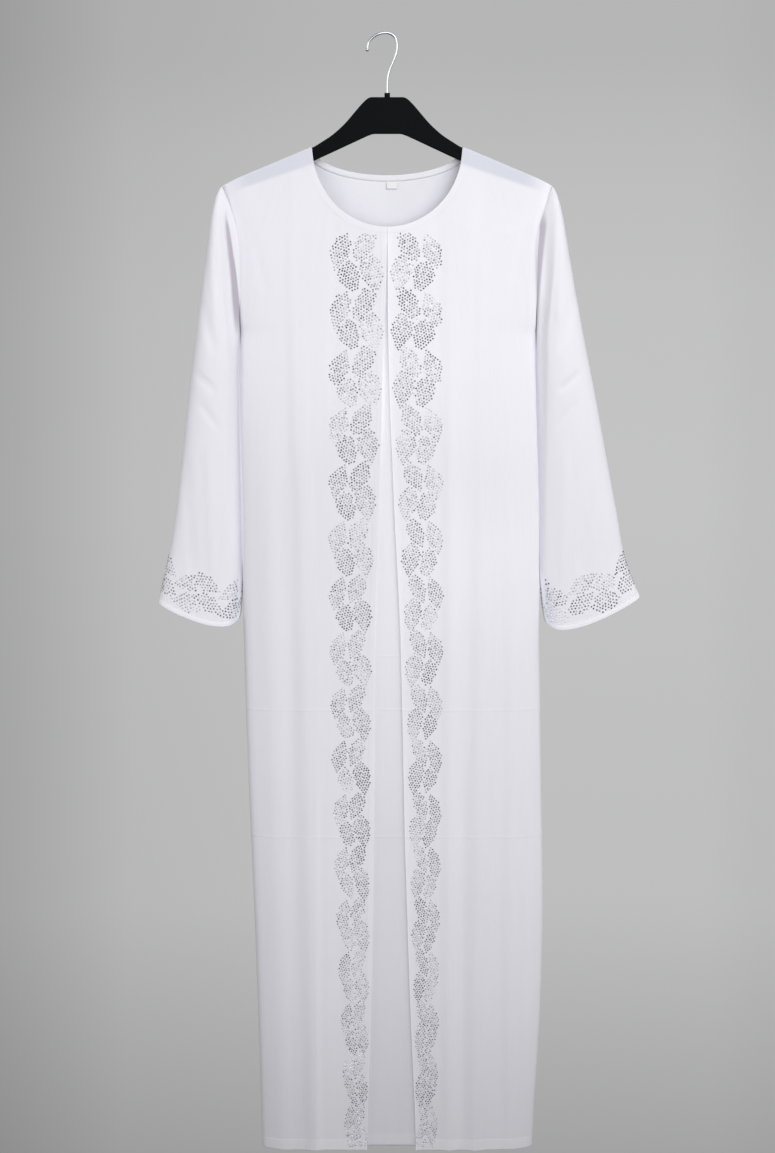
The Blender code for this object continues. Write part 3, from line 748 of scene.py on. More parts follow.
class Finish:
    """Nodes of a material or of the studio's light."""

    def __init__(self, owner):
        self.owner = owner
        owner.use_nodes = True
        self.tree = owner.node_tree

    def node(self, kind, output, settings=None, sockets=None):
        """Add a node: its settings first, then its sockets' values or links."""
        made = self.tree.nodes.new("ShaderNode" + kind)
        for name, value in (settings or {}).items():
            if name == "stops":
                self.set_stops(made.color_ramp, value)
            else:
                setattr(made, name, value)
        for name, value in (sockets or {}).items():
            if isinstance(value, Link):
                self.tree.links.new(value.socket, made.inputs[name])
            else:
                made.inputs[name].default_value = value
        return Link(self, made.outputs[output])

    def set_stops(self, ramp, stops):
        """Give a color ramp its stops, as pairs of place and colour."""
        while len(ramp.elements) < len(stops):
            ramp.elements.new(0.5)
        for element, (place, color) in zip(ramp.elements, stops):
            element.position = place
            element.color = (*color, 1.0)

    def maths(self, operation, *values):
        """A Math node on links or numbers."""
        return self.node("Math", 0, {"operation": operation}, dict(enumerate(values)))

    def mix(self, factor, low, high, blend="MIX"):
        """Mix two colours."""
        low, high = (color if isinstance(color, Link) else (*color, 1.0) for color in (low, high))
        settings = {"data_type": "RGBA", "blend_type": blend}
        return self.node("Mix", 2, settings, {0: factor, 6: low, 7: high})

    def ramp(self, place, stops, tint):
        """A tinted grey read along a color ramp."""
        colors = [(at, tuple(channel * level for channel in tint)) for at, level in stops]
        return self.node("ValToRGB", 0, {"stops": colors}, {"Fac": place})

    def attribute(self, name):
        """A number stored on the mesh."""
        return self.node("Attribute", 2, {"attribute_name": name})

    def noise(self, scale, place=None, detail=2.0):
        """A noise from 0 to 1; its scale is in waves a metre."""
        place = place or self.node("TexCoord", 3)
        return self.node("TexNoise", 0, None, {"Scale": scale, "Detail": detail, "Vector": place})

    def streaks(self, scale, place, detail=2.0):
        """A noise stretched along one direction; its scale has one value for each axis."""
        return self.noise(1.0, self.node("Mapping", 0, None, {"Vector": place, "Scale": scale}), detail)

    def bump(self, height, distance, strength=1.0):
        """A bumped normal from a height."""
        return self.node("Bump", 0, None, {"Strength": strength, "Distance": distance, "Height": height})

    def set(self, constants, links):
        """Give the shader its constant values and its links."""
        shader = self.tree.nodes["Principled BSDF"]
        for socket, value in constants.items():
            shader.inputs[socket].default_value = value
        for socket, value in links.items():
            self.tree.links.new(value.socket, shader.inputs[socket])
        return self.owner


def new_finish(name):
    """A finish for a new material."""
    return Finish(bpy.data.materials.new(name))


def crepe(name, settings, creased=()):
    """White crepe: pebbled weave, lighter where doubled, bluish over something dark, with painted light
    and shade: darker towards the hem, in folds, and a glow in narrow gaps.
    """
    finish = new_finish(name)
    uv = finish.node("UVMap", 0, {"uv_map": "UVMap"})
    turns = tau / settings.pitch
    across, down = (finish.node("SeparateXYZ", axis, None, {0: uv}) for axis in (0, 1))
    waver = finish.noise(900.0, uv, 1.0)
    warp = finish.maths("SINE", across * turns + waver * 4.0)
    weft = finish.maths("SINE", down * turns + waver * 4.0)
    weave = warp * weft * 0.5 + 0.5
    pebble = finish.noise(1500.0, uv, 2.0)
    slub = finish.streaks((420.0, 9.0, 1.0), uv)
    cloud = finish.noise(7.0, None, 3.0)
    hang = finish.streaks((26.0, 26.0, 1.6), finish.node("TexCoord", 3), 3.0)
    color = finish.mix(finish.attribute("layers"), settings.single, settings.double)
    color = finish.mix(finish.attribute("behind"), color, settings.shadow)
    color = finish.mix(finish.attribute("fold"), color, settings.fold)
    tone = ((slub - 0.5) * 0.5 + (cloud - 0.5) * 0.35 + (hang - 0.5) * 0.3 + (weave - 0.5) * 0.10) * 0.22
    color = finish.mix(finish.maths("MAXIMUM", tone * -1.0, 0.0), color, (0.42, 0.41, 0.47))
    color = finish.mix(finish.maths("MAXIMUM", tone, 0.0), color, (1.0, 1.0, 1.0))
    height = weave * 0.45 + pebble * 0.55 + slub * 0.2
    z = finish.node("SeparateXYZ", 2, None, {0: finish.node("TexCoord", 3)})
    # Painted shade: the cloth's colour is darkened towards the hem
    shade = finish.ramp((z - HEM_Z) * (1 / GARMENT_LENGTH), HEM_PAINTED_SHADE, (1.0, 1.0, 1.0))
    color = finish.mix(1.0, color, shade, "MULTIPLY")
    for line in creased:
        off = (z - line) * (1 / PACKAGE_CREASE)
        height = height + finish.maths("POWER", 2.718, off * off * -1.0) * 1.6
    rough = weave * 0.06 + cloud * 0.08 + 0.68
    return finish.set(
        {"Sheen Weight": 0.20, "Sheen Roughness": 0.45, "Specular IOR Level": 0.22,
         "Emission Strength": 1.0},
        {"Base Color": color, "Roughness": rough, "Normal": finish.bump(height, 0.00022, 0.55),
         "Emission Color": finish.mix(finish.attribute("seep"), (0.0, 0.0, 0.0), settings.seep)},
    )


def stone_finish(settings):
    """Faceted silver glass stones, each with its own tint."""
    finish = new_finish("faceted_stone")
    color = finish.mix(finish.attribute("tint"), settings.dark, settings.pale)
    haze = finish.noise(1800.0, None, 1.0)
    return finish.set(
        {"Metallic": 0.55, "Specular IOR Level": 0.5},
        {"Base Color": color, "Roughness": haze * 0.16 + 0.22},
    )


def thread_finish(settings):
    """Sewing thread with a twist."""
    finish = new_finish("sewing_thread")
    twist = finish.noise(5200.0, None, 1.0)
    color = finish.mix(twist * 0.2, settings.thread, (0.62, 0.61, 0.66))
    return finish.set(
        {"Sheen Weight": 0.2},
        {"Base Color": color, "Roughness": twist * 0.1 + 0.55, "Normal": finish.bump(twist, 0.00008)},
    )


def label_finish():
    """Smooth woven tape with fine ribs and soft, patchy wear."""
    finish = new_finish("woven_tape")
    uv = finish.node("UVMap", 0, {"uv_map": "UVMap"})
    ribs = finish.maths("SINE", finish.node("SeparateXYZ", 1, None, {0: uv}) * (tau / 0.0004))
    soft = finish.noise(260.0, uv)
    color = finish.mix(soft * 0.4, (0.88, 0.88, 0.90), (0.74, 0.74, 0.78))
    return finish.set(
        {"Specular IOR Level": 0.4},
        {"Base Color": color, "Roughness": soft * 0.15 + 0.42,
         "Normal": finish.bump(ribs, 0.00006, 0.6)},
    )


def plastic_finish():
    """Black satin plastic with a fine moulded grain and rubbed patches."""
    finish = new_finish("satin_black_plastic")
    grain = finish.noise(1900.0, None, 2.0)
    rubbed = finish.noise(24.0, None, 3.0)
    color = finish.mix(rubbed * 0.6, (0.0010, 0.0013, 0.0018), (0.0032, 0.0036, 0.0044))
    return finish.set(
        {"Specular IOR Level": 0.07},
        {"Base Color": color, "Roughness": rubbed * 0.18 + 0.42,
         "Normal": finish.bump(grain, 0.00006, 0.4)},
    )


def chrome_finish():
    """Bright chrome wire with faint drawing lines and dulled spots."""
    finish = new_finish("bright_chrome")
    dull = finish.noise(160.0, None, 3.0)
    lines = finish.streaks((3200.0, 3200.0, 70.0), finish.node("TexCoord", 3), 1.0)
    color = finish.mix(dull * 0.5, (0.66, 0.67, 0.69), (0.46, 0.47, 0.49))
    return finish.set(
        {"Metallic": 1.0},
        {"Base Color": color, "Roughness": dull * 0.16 + 0.08,
         "Normal": finish.bump(lines, 0.00002, 0.3)},
    )


def hanger_shadow(x, z):
    """Where the dark hanger arm lies just behind the cloth."""
    out = np.abs(x)
    low_edge = HANGER_EDGE_Z - HANGER_EDGE_SLOPE * (out - HANGER_EDGE_X)
    return HANGER_SHADE * smooth((z - low_edge) / 0.006 + 0.5) * smooth((HANGER_END_X - out) / 0.034)


def side_gap(from_side, z, side):
    """How much light seeps into the narrow gap between body and sleeve."""
    ends = smooth((z - GAP_END[side > 0]) / 0.05) * smooth((UNDERARM_Z - z) / 0.03)
    return bell(from_side, SIDE_GAP) * ends * GAP_LIGHT[side > 0]


def opening_light(z):
    """Light that seeps in beside the opening; most where it starts to part."""
    return EDGE_LIGHT + EDGE_LIGHT_MORE * bell(z - OPENING_LIGHT_Z, 0.07)


def arm_wedge(x, z, side):
    """Shade of the wedge between sleeve and armhole, crisp towards the body and soft outwards."""
    name = "left_" if side < 0 else "right_"
    inner, outer = (curve(ARM_WEDGE, z, name + edge) for edge in ("in", "out"))
    ends = smooth((ARM_WEDGE[0].z - z) / 0.03) * smooth((z - ARM_WEDGE[-1].z) / 0.05)
    out = np.abs(x)
    return ends * smooth((out - inner) / 0.0012 + 0.5) * smooth((outer - out) / 0.004 + 0.5)


def sleeve_shade(beside, z, side):
    """Shade of the hanging sleeve where it turns in behind the body's side, deeper at the left."""
    depth = SLEEVE_SHADE_DEPTH[side > 0]
    return depth * np.clip(1 - beside / SLEEVE_SHADE, 0, 1) ** 2 * smooth((-0.36 - z) / 0.06)


def lower_share(z):
    """How far down the garment a place is, from 0 at the underarm to 1 at the hem."""
    return smooth((UNDERARM_Z - z) / (UNDERARM_Z - HEM_Z))


def front_masks(x, z, side):
    """Where a panel or hem doubles the front and the hanger shows through; painted light and shade:
    lighter right front, shade by the arm, glow in gaps.
    """
    edge = np.abs(by_side(INNER_EDGES, z, side))
    inner_edge = INNER_TOP_X + (edge - INNER_TOP_X) * smooth((-0.20 - z) / INNER_FREE)
    panel = smooth((inner_edge - np.abs(x)) / 0.004) * smooth((NECK_Z - z) / 0.02)
    from_side = half_width(z, side) - np.abs(x)
    from_edge = np.abs(x - by_side(OPENING, z, side))
    hems = np.maximum.reduce([
        EDGE_SHOWS * turned(from_edge, EDGE_STITCH, 0.001),
        NECK_SHOWS * turned(neck_distance(x, z, FRONT_NECK_DROP), NECK_STITCH, 0.001),
        turned(z - HEM_Z, HEM_STITCH),
        SEAM_SHOWS * turned(from_side, SEAM_TURNED),
    ])
    # The base share paints the right front lighter, with a band of painted light at its hips
    layers = FRONT_PAINTED_LIGHT[side > 0]
    if side > 0:
        layers = layers + RIGHT_PAINTED_LIGHT * bell(z - RIGHT_PAINTED_LIGHT_Z, RIGHT_PAINTED_LIGHT_REACH)
    layers = layers + (PANEL_LAYERS + PANEL_LAYERS_AND_LIGHT_LOW[side > 0] * lower_share(z)) * panel
    above = smooth((z - UNDERARM_Z) / 0.05) * (side < 0)
    beside_arm = ARM_SHADE * above * bell(from_side, ARM_SHADE_REACH)
    edge_light = opening_light(z) * bell(from_edge, EDGE_LIGHT_REACH)
    return {
        "layers": np.minimum(layers + HEM_LAYERS * hems, 1.0),
        "behind": hanger_shadow(x, z),
        "fold": np.maximum(arm_wedge(x, z, side), beside_arm),
        "seep": np.maximum(side_gap(from_side, z, side), edge_light),
    }


def front_point(x, z, side):
    """A place on an outer front's surface, hems included."""
    y = body_y(x, z, -1)
    from_edge = np.abs(x - by_side(OPENING, z, side))
    rise = hem_rise(from_edge, EDGE_STITCH) + EDGE_ROLL * bell(from_edge, EDGE_ROLL_REACH)
    rise = rise * smooth((EDGE_HEM_TOP - z) / 0.02)
    rise = rise + 0.5 * hem_rise(neck_distance(x, z, FRONT_NECK_DROP), NECK_STITCH)
    rise = rise + hem_rise(z - HEM_Z, HEM_STITCH)
    return np.stack([x, y - rise, z], axis=-1)


def front_place(side):
    """Sets out one outer front from the open edge to the side seam."""
    def place(share, row):
        """Place and masks of a station."""
        x, z = panel_point(share, row, side, FRONT_NECK_DROP, lambda at: by_side(OPENING, at, side))
        return front_point(x, z, side), front_masks(x, z, side)
    return place


class ABAYA_OT_fronts(bpy.types.Operator):
    """Make the two outer fronts"""
    bl_idname = "abaya.fronts"
    bl_label = "Outer fronts"

    def execute(self, context):
        """Lay both fronts on the body form."""
        across = spread((0, 0.004, 3), (0.004, 0.040, 12), (0.040, NECK_SHARE, 30), (NECK_SHARE, 1, 34))
        material = crepe("crepe_front", context.scene.abaya_cloth, (-0.901, -1.082))
        for name, side in SIDES:
            title = "front_" + name + "_cloth"
            mesh = cloth_grid(title, across, panel_rows(44), front_place(side), flip=side < 0)
            piece = add_cloth(mesh, material, "front_outer_" + name)
        return {"FINISHED"}


class ABAYA_OT_inner_front(bpy.types.Operator):
    """Make the panel behind the opening"""
    bl_idname = "abaya.inner_front"
    bl_label = "Inner front"

    def execute(self, context):
        """Lay the inner panel just behind the outer fronts."""
        last = NECK_SHARE + (1 - NECK_SHARE) * (INNER_TOP_X - NECK_X) / (TIP_X - NECK_X)

        def place(across, row):
            """Places and masks of the stations."""
            share = np.abs(across) * last
            side = np.where(across < 0, -1.0, 1.0)
            level = np.clip(row, 0, 1)
            out, z = yoke_point(share, level, side, FRONT_NECK_DROP)
            top = panel_top(share, FRONT_NECK_DROP)[1]
            z = z + (INNER_HEM_Z - UNDERARM_Z) * np.maximum(row - 1, 0)
            free = smooth((top - z) / INNER_FREE)
            edge = np.abs(by_side(INNER_EDGES, z, side))
            x = side * (out + (edge * share / last - out) * free)
            y = body_y(x, z, -1) + WALL + SEAM + INNER_DEPTH * free
            hems = np.maximum(
                turned(edge - np.abs(x), INNER_TURNED), turned(z - INNER_HEM_Z, INNER_HEM))
            # The panel is lighter at its top and darker further down
            layers = np.maximum(1.0 - INNER_DARKER_DOWN * lower_share(z), 0) + 0.3 * hems
            beside = np.abs(np.abs(x) - np.abs(by_side(OPENING, z, side)))
            seep = PANEL_LIGHT * opening_light(z) * bell(beside, PANEL_LIGHT_REACH)
            return np.stack([x, y, z], axis=-1), {"layers": layers, "behind": 0.0, "seep": seep}

        across = spread((-1, -0.4, 14), (-0.4, 0, 50), (0, 0.4, 50), (0.4, 1, 14))
        down = spread((0, 0.06, 6), (0.06, 1, 30), (1, 1.97, 150), (1.97, 2, 10))
        mesh = cloth_grid("inner_front_cloth", across, down, place)
        material = crepe("crepe_inner", context.scene.abaya_cloth, (-0.826, -0.901, -1.082))
        piece = add_cloth(mesh, material, "front_inner")
        return {"FINISHED"}


class ABAYA_OT_back(bpy.types.Operator):
    """Make the back"""
    bl_idname = "abaya.back"
    bl_label = "Back"

    def execute(self, context):
        """Lay the back on the body form in one piece."""
        right = spread((0, NECK_SHARE, 28), (NECK_SHARE, 1, 30))
        across = np.concatenate([-right[:0:-1], right])
        mesh = cloth_grid("back_cloth", across, panel_rows(40), back_place, flip=True)
        material = crepe("crepe_back", context.scene.abaya_cloth)
        piece = add_cloth(mesh, material, "back")
        return {"FINISHED"}


def back_point(x, z):
    """A place on the back's outer surface, hems included."""
    rise = hem_rise(neck_distance(x, z, BACK_NECK_DROP), NECK_STITCH) + hem_rise(z - HEM_Z, HEM_STITCH)
    return np.stack([x, body_y(x, z, 1) + rise, z], axis=-1)


def back_place(across, row):
    """Sets out the back, from its left side seam to its right one."""
    side = np.where(across < 0, -1.0, 1.0)
    x, z = panel_point(np.abs(across), row, side, BACK_NECK_DROP, np.zeros_like)
    hems = np.maximum.reduce([
        turned(neck_distance(x, z, BACK_NECK_DROP), NECK_STITCH, 0.001),
        turned(z - HEM_Z, HEM_STITCH),
        SEAM_SHOWS * turned(half_width(z, side) - np.abs(x), SEAM_TURNED),
    ])
    # Painted bluish shade on the inside of the back, seen through the neck, more towards its sides
    inside = BACK_INSIDE_MORE * smooth((np.abs(x) - BACK_INSIDE_FROM) / 0.05) + BACK_INSIDE
    rim = np.hypot(x / NECK_X, (z - NECK_Z) / FRONT_NECK_DROP)
    inside = inside * smooth((1.9 - rim) / 0.8)
    behind = np.maximum(hanger_shadow(x, z), inside)
    return back_point(x, z), {"layers": BACK_LAYERS + BACK_HEM_LAYERS * hems, "behind": behind}


def sleeve_point(side, along, angle):
    """A place on a sleeve: along runs over its rings, angle goes round from the outer line."""
    rings = LEFT_SLEEVE if side < 0 else RIGHT_SLEEVE
    Place = namedtuple("Place", Ring._fields + ("along",))
    table = [Place(*ring, index) for index, ring in enumerate(rings)]
    ring = Ring(*(curve(table, along, field, "along") for field in Ring._fields))
    inward = (1 - np.cos(angle)) / 2
    sine = -np.sin(angle)
    front = np.sign(sine) * np.abs(sine) ** SLEEVE_ROUNDNESS
    loose = CLOTH_GAP + (1 - CLOTH_GAP) * smooth(along - len(rings) + 2)
    inner_x = half_width(ring.inner_z, side) + ring.gap * loose
    x = ring.outer_x + (inner_x - ring.outer_x) * inward
    more = 1 + BACK_SAG_MORE * smooth(front * 4)
    z = ring.outer_z + (ring.inner_z - ring.outer_z) * inward
    z = z - ring.sag * inward * np.maximum(1 - inward, 0) ** SAG_END * more
    fold = crease_height(SLEEVE_CREASES, x, z) * np.abs(front)
    hem = hem_rise((len(rings) - 1 - along) * CUFF_RING, CUFF_STITCH)
    y = ring.middle + front * (ring.depth + fold + hem)
    armhole_part = 1 - smooth(along / (len(rings) - 1) / SLEEVE_CUT_BLEND)
    seam_z = TIP_Z + (UNDERARM_Z - TIP_Z) * inward
    seam_x = half_width(seam_z, side) + SLEEVE_SEAM
    x = x + (seam_x - x) * armhole_part
    y = y + (np.sign(front) * armhole_depth(seam_z) - y) * armhole_part
    z = z + (seam_z - z) * armhole_part
    return np.stack([side * x, y, z], axis=-1)


def sleeve_place(side):
    """Sets out one sleeve, round its outer line and from the armhole to the cuff."""
    def place(angle, down):
        """Places and masks of the stations."""
        turn = whole_turn(angle)
        points = sleeve_point(side, down, turn)
        x, z = points[:, 0], points[:, 2]
        beside = np.abs(x) - half_width(z, side)
        hem = smooth((down - 7.80) / 0.02)
        seam = SEAM_SHOWS * smooth((0.3 - down) / 0.05)
        inward = -np.cos(turn)
        # Painted shade on the cuff's turned-in side, and painted light at its inner edge
        under = CUFF_SHADE * smooth((down - 6.9) / 0.5) * smooth((inward - 0.62) / 0.3)
        edge_light = CUFF_EDGE_LIGHT * smooth((down - 6.8) / 0.5) * smooth((inward - 0.86) / 0.1)
        # The double layer's share fades out towards the shoulder, which paints shade at the sleeve's top
        return points, {
            "layers": SLEEVE_LAYERS * smooth((-0.20 - z) / 0.12) + HEM_LAYERS * np.maximum(hem, seam),
            "behind": under,
            "fold": np.maximum(arm_wedge(x, z, side), sleeve_shade(beside, z, side)),
            "seep": np.maximum(side_gap(beside, z, side), edge_light),
        }
    return place


def whole_turn(angle):
    """Angles with the last of a full turn brought back to 0, so that the two edges meet."""
    return np.where(angle > tau - 1e-9, 0.0, angle)


class ABAYA_OT_sleeves(bpy.types.Operator):
    """Make both sleeves"""
    bl_idname = "abaya.sleeves"
    bl_label = "Sleeves"

    def execute(self, context):
        """Loft each sleeve from its armhole to its open cuff."""
        material = crepe("crepe_sleeve", context.scene.abaya_cloth)
        angles = np.linspace(0, tau, 105)
        along = spread((0, 0.4, 8), (0.4, 7.7, 116), (7.7, 8, 14))
        for name, side in SIDES:
            title = "sleeve_" + name + "_cloth"
            mesh = cloth_grid(title, angles, along, sleeve_place(side), flip=side > 0, closed=True)
            piece = add_cloth(mesh, material, "sleeve_" + name)
        return {"FINISHED"}


def neck_line(drop, share, width):
    """Places a given width below a neck edge; share runs from -1 at one shoulder to 1 at the other."""
    angle = np.arccos(RIDGE_RADIUS / drop) * share
    out = np.sin(angle) / NECK_X
    down = -np.cos(angle) / drop
    step = width / np.hypot(out, down)
    return NECK_X * np.sin(angle) + step * out, NECK_Z - drop * np.cos(angle) + step * down


def facing_point(x, z):
    """A place on the facing inside the back neck."""
    return np.stack([x, body_y(x, z, 1) - WALL - LAYER_GAP, z], axis=-1)


class ABAYA_OT_neck_finish(bpy.types.Operator):
    """Make the back neck facing and the bare size label"""
    bl_idname = "abaya.neck_finish"
    bl_label = "Neck finish"

    def execute(self, context):
        """Lay the facing inside the back neck, and the label under it."""
        def facing(share, width):
            """Places on the facing; its lower edge lies back against the cloth."""
            points = facing_point(*neck_line(BACK_NECK_DROP, share, width))
            points[:, 1] += 0.0005 * smooth((width - FACING_WIDTH + 0.002) / 0.002)
            # A slight painted shade on the facing inside the neck
            return points, {"layers": 0.3, "behind": 0.08}

        across = np.linspace(-FACING_REACH, FACING_REACH, 97)
        down = spread((SEAM, FACING_WIDTH + SEAM, 9))
        mesh = cloth_grid("neck_facing_cloth", across, down, facing)
        material = crepe("crepe_facing", context.scene.abaya_cloth)
        piece = add_cloth(mesh, material, "neck_facing_back", WALL / 2)

        top = NECK_Z - BACK_NECK_DROP - FACING_WIDTH - LABEL_DROP

        def label(across, down):
            """Places on the label, curled a little away from the back."""
            x = LABEL_X + across * LABEL_WIDTH
            z = top - down * LABEL_HEIGHT
            curl = 0.0004 * down ** 2 + 0.0003 * (across * 2) ** 2
            y = body_y(LABEL_X + 0 * across, z, 1) - WALL - LAYER_GAP - LABEL_THICK / 2 - curl
            return np.stack([x, y, z], axis=-1), {}

        mesh = cloth_grid("bare_label", np.linspace(-0.5, 0.5, 15), np.linspace(0, 1, 11), label)
        piece = add_cloth(mesh, label_finish(), "size_label", LABEL_WALL, "label")
        return {"FINISHED"}


def stone_shape():
    """A flat-backed stone of radius 1, with a ring of facets up to a flat table."""
    form = bmesh.new()
    bmesh.ops.create_cone(form, cap_ends=True, segments=6, radius1=1.0, radius2=0.96, depth=0.25)
    bmesh.ops.translate(form, verts=form.verts, vec=(0, 0, 0.125))
    table = max(form.faces, key=lambda face: face.calc_center_median().z)
    bmesh.ops.inset_region(form, faces=[table], thickness=0.40, depth=0.30)
    return shape_arrays(form)


def stitch_shape():
    """One rounded stitch of half length, half width and height 1."""
    form = bmesh.new()
    bmesh.ops.create_uvsphere(form, u_segments=6, v_segments=4, radius=1.0)
    bmesh.ops.rotate(form, verts=form.verts, matrix=Matrix.Rotation(pi / 2, 3, "Y"))
    return shape_arrays(form)


def shape_arrays(form):
    """A small shape's places and faces, to be copied many times."""
    form.verts.index_update()
    points = np.array([vert.co[:] for vert in form.verts])
    faces = [[vert.index for vert in face.verts] for face in form.faces]
    form.free()
    return points, faces


def joined(name, shape, frames, tints=None):
    """One mesh of many copies of a small shape. A frame is a place and the copy's three axes."""
    points, faces = shape
    places = frames[:, None, 0] + np.einsum("pk,nkc->npc", points, frames[:, 1:])
    step = len(points)
    all_faces = []
    for first in range(0, step * len(frames), step):
        all_faces += [[first + index for index in face] for face in faces]
    mesh = bpy.data.meshes.new(name)
    mesh.from_pydata(places.reshape(-1, 3).tolist(), [], all_faces)
    if tints is not None:
        layer = mesh.attributes.new("tint", "FLOAT", "POINT")
        layer.data.foreach_set("value", np.repeat(tints, step).astype(np.float32))
    mesh.update()
    return mesh


def unit(vectors):
    """Vectors of length 1."""
    return vectors / np.maximum(np.linalg.norm(vectors, axis=-1, keepdims=True), 1e-12)


def axes_on(surface, a, b, step=0.0005):
    """Place, first direction and normal of a surface at its two parameters."""
    first = unit(surface(a + step, b) - surface(a - step, b))
    second = surface(a, b + step) - surface(a, b - step)
    return surface(a, b), first, unit(np.cross(first, second))


def leaf_spine(leaf, width, repeat):
    """Points along a leaf's bent middle line, across and down in metres, with their running length."""
    start, middle, end = np.array(leaf[:6]).reshape(3, 2) * (width, repeat)
    bend = 2 * middle - (start + end) / 2
    share = np.linspace(0, 1, 60)[:, None]
    spine = (1 - share) ** 2 * start + 2 * share * (1 - share) * bend + share ** 2 * end
    return spine, running_length(spine)


def leaf_stones(leaf, width, repeat, pitch, squeeze):
    """Stones of one leaf in rows: across and down in metres, and how far inside the leaf, 0 to 1."""
    spine, length = leaf_spine(leaf, width, repeat)
    rows = max(int(round(length[-1] / (pitch * 0.88))), 2)
    places = []
    for row in range(rows + 1):
        at = length[-1] * row / rows
        reach = np.clip((at, at + 0.001, at - 0.001), 0, length[-1])
        point, ahead, behind = (
            np.array([np.interp(place, length, spine[:, axis]) for axis in (0, 1)]) for place in reach)
        along = unit(ahead - behind)
        half = leaf.half_width * squeeze * max(np.sin(pi * (row / rows) ** 0.9), 0.02) ** 0.8
        across = (np.arange(-MOST_ABREAST, MOST_ABREAST + 1) + 0.5 * (row % 2)) * pitch
        for off in across[np.abs(across) <= half + 0.12 * pitch]:
            place = point + off * np.array([along[1], -along[0]])
            places.append((*place, 1 - min(abs(off) / half, 1) ** 2))
    return places


def border_stones(width_at, repeats, repeat, settings, random, wider=1.0):
    """Stone places of a whole border: across, down, pitch and tint, with none lying on another."""
    kept = np.zeros((0, 4))
    for number in range(repeats):
        for index, leaf in enumerate(LEAVES):
            width = width_at((number + leaf.mid_down) * repeat)
            ratio = width / FULL_BORDER
            pitch = settings.pitch * wider * (0.80 + 0.20 * ratio)
            deeper = TOP_DEEPER * bell(number, 1.5) + LOW_DEEPER * bell(number - LOW_REPEAT, 3.5)
            mood = LEAF_TINT + PALE_LEAF_MORE * (index == PALE_LEAF) - deeper
            mood = random.normal(mood, LEAF_TINT_VARIES)
            lean = random.uniform(-STEEPEST_LEAN, STEEPEST_LEAN, 2)
            for across, down, inside in leaf_stones(leaf, width, repeat, pitch, ratio ** 0.8):
                place = np.array([across / width, down + number * repeat])
                near = kept[-300:]
                gaps = np.hypot((near[:, 0] - place[0]) * width, near[:, 1] - place[1])
                if len(near) and gaps.min() < LEAST_GAP * pitch:
                    continue
                tint = mood + INNER_STONES_MORE * (inside - 0.5) + lean @ (across - width / 2, down)
                tint = tint + random.normal(0, STONE_TINT_VARIES)
                kept = np.vstack([kept, (*place, pitch, np.clip(tint, 0, 1))])
    jitter = random.normal(0, STRAY, (len(kept), 2))
    kept[:, 0] += jitter[:, 0] / FULL_BORDER
    kept[:, 1] += jitter[:, 1]
    return kept.T


def set_stones(name, surface, stones, settings, outward, random):
    """Set stones on a surface, each a little turned and tipped, with their backs in the cloth."""
    a, b, pitch, tints = stones
    place, first, normal = axes_on(surface, a, b)
    count = len(a)
    normal = unit(normal * outward + random.normal(0, TIP, (count, 3)))
    first = unit(first - normal * np.sum(first * normal, axis=1, keepdims=True))
    second = np.cross(normal, first)
    turn = random.uniform(0, tau, (count, 1))
    across = first * np.cos(turn) + second * np.sin(turn)
    size = settings.stone / 2 * np.minimum(pitch / settings.pitch, 1.0)
    size = (size * random.uniform(*SIZE_VARIES, count))[:, None]
    axes = (place - normal * SUNK, across * size, np.cross(normal, across) * size, normal * size)
    return joined(name, stone_shape(), np.stack(axes, axis=1), tints)


class ABAYA_OT_front_borders(bpy.types.Operator):
    """Make the stone borders down the front edges"""
    bl_idname = "abaya.front_borders"
    bl_label = "Front borders"

    def execute(self, context):
        """Fill the leaves of each repeat with stones, on the cloth's own surface."""
        settings = context.scene.abaya_border
        material = stone_finish(settings)
        for name, side in SIDES:
            def edges(down):
                """Both edges of the border at a distance below the first leaf."""
                z = np.asarray(FIRST_LOBE_Z - down)
                return by_side(BORDER, z, side), by_side(BORDER_OUT, z, side)

            def width_at(down):
                """Width of the border there."""
                inner, outer = edges(down)
                return abs(float(outer - inner))

            random = np.random.default_rng(settings.seed + side)
            across, down, pitch, tints = border_stones(
                width_at, settings.count, settings.repeat, settings, random)
            inner, outer = edges(down)
            x = inner + (outer - inner) * across
            z = FIRST_LOBE_Z - down
            tints = np.clip(tints - RIGHT_DEEPER * (side > 0) * smooth((-0.60 - z) / 0.3), 0, 1)
            stones = np.array([x, z, pitch, tints])[:, (z < BORDER_TOP) & (z > BORDER_END)]
            mesh = set_stones(
                "front_stones_" + name, lambda a, b: front_point(a, b, side),
                stones, settings, 1, random)
            add_piece(mesh, material, "cloth")
        return {"FINISHED"}


class CuffMap:
    """Finds places on a sleeve from the distance round the cuff and the height above its edge."""

    def __init__(self, side):
        self.side = side
        self.angles = np.linspace(0, tau, 181)
        self.along = np.linspace(8, 6.0, 81)
        angle, along = np.meshgrid(self.angles, self.along)
        points = sleeve_point(side, along, angle)
        steps = np.linalg.norm(np.diff(points, axis=0), axis=2)
        self.up = np.insert(np.cumsum(steps, axis=0), 0, 0, axis=0)
        self.round = running_length(points[RING_ROW])

    def place(self, distance, height):
        """The along and angle of places a distance round and a height above the edge."""
        angle = np.interp(distance % self.round[-1], self.round, self.angles)
        column = np.clip(np.searchsorted(self.angles, angle), 0, 180)
        along = [np.interp(up, self.up[:, index], self.along) for up, index in zip(height, column)]
        return np.array(along), angle


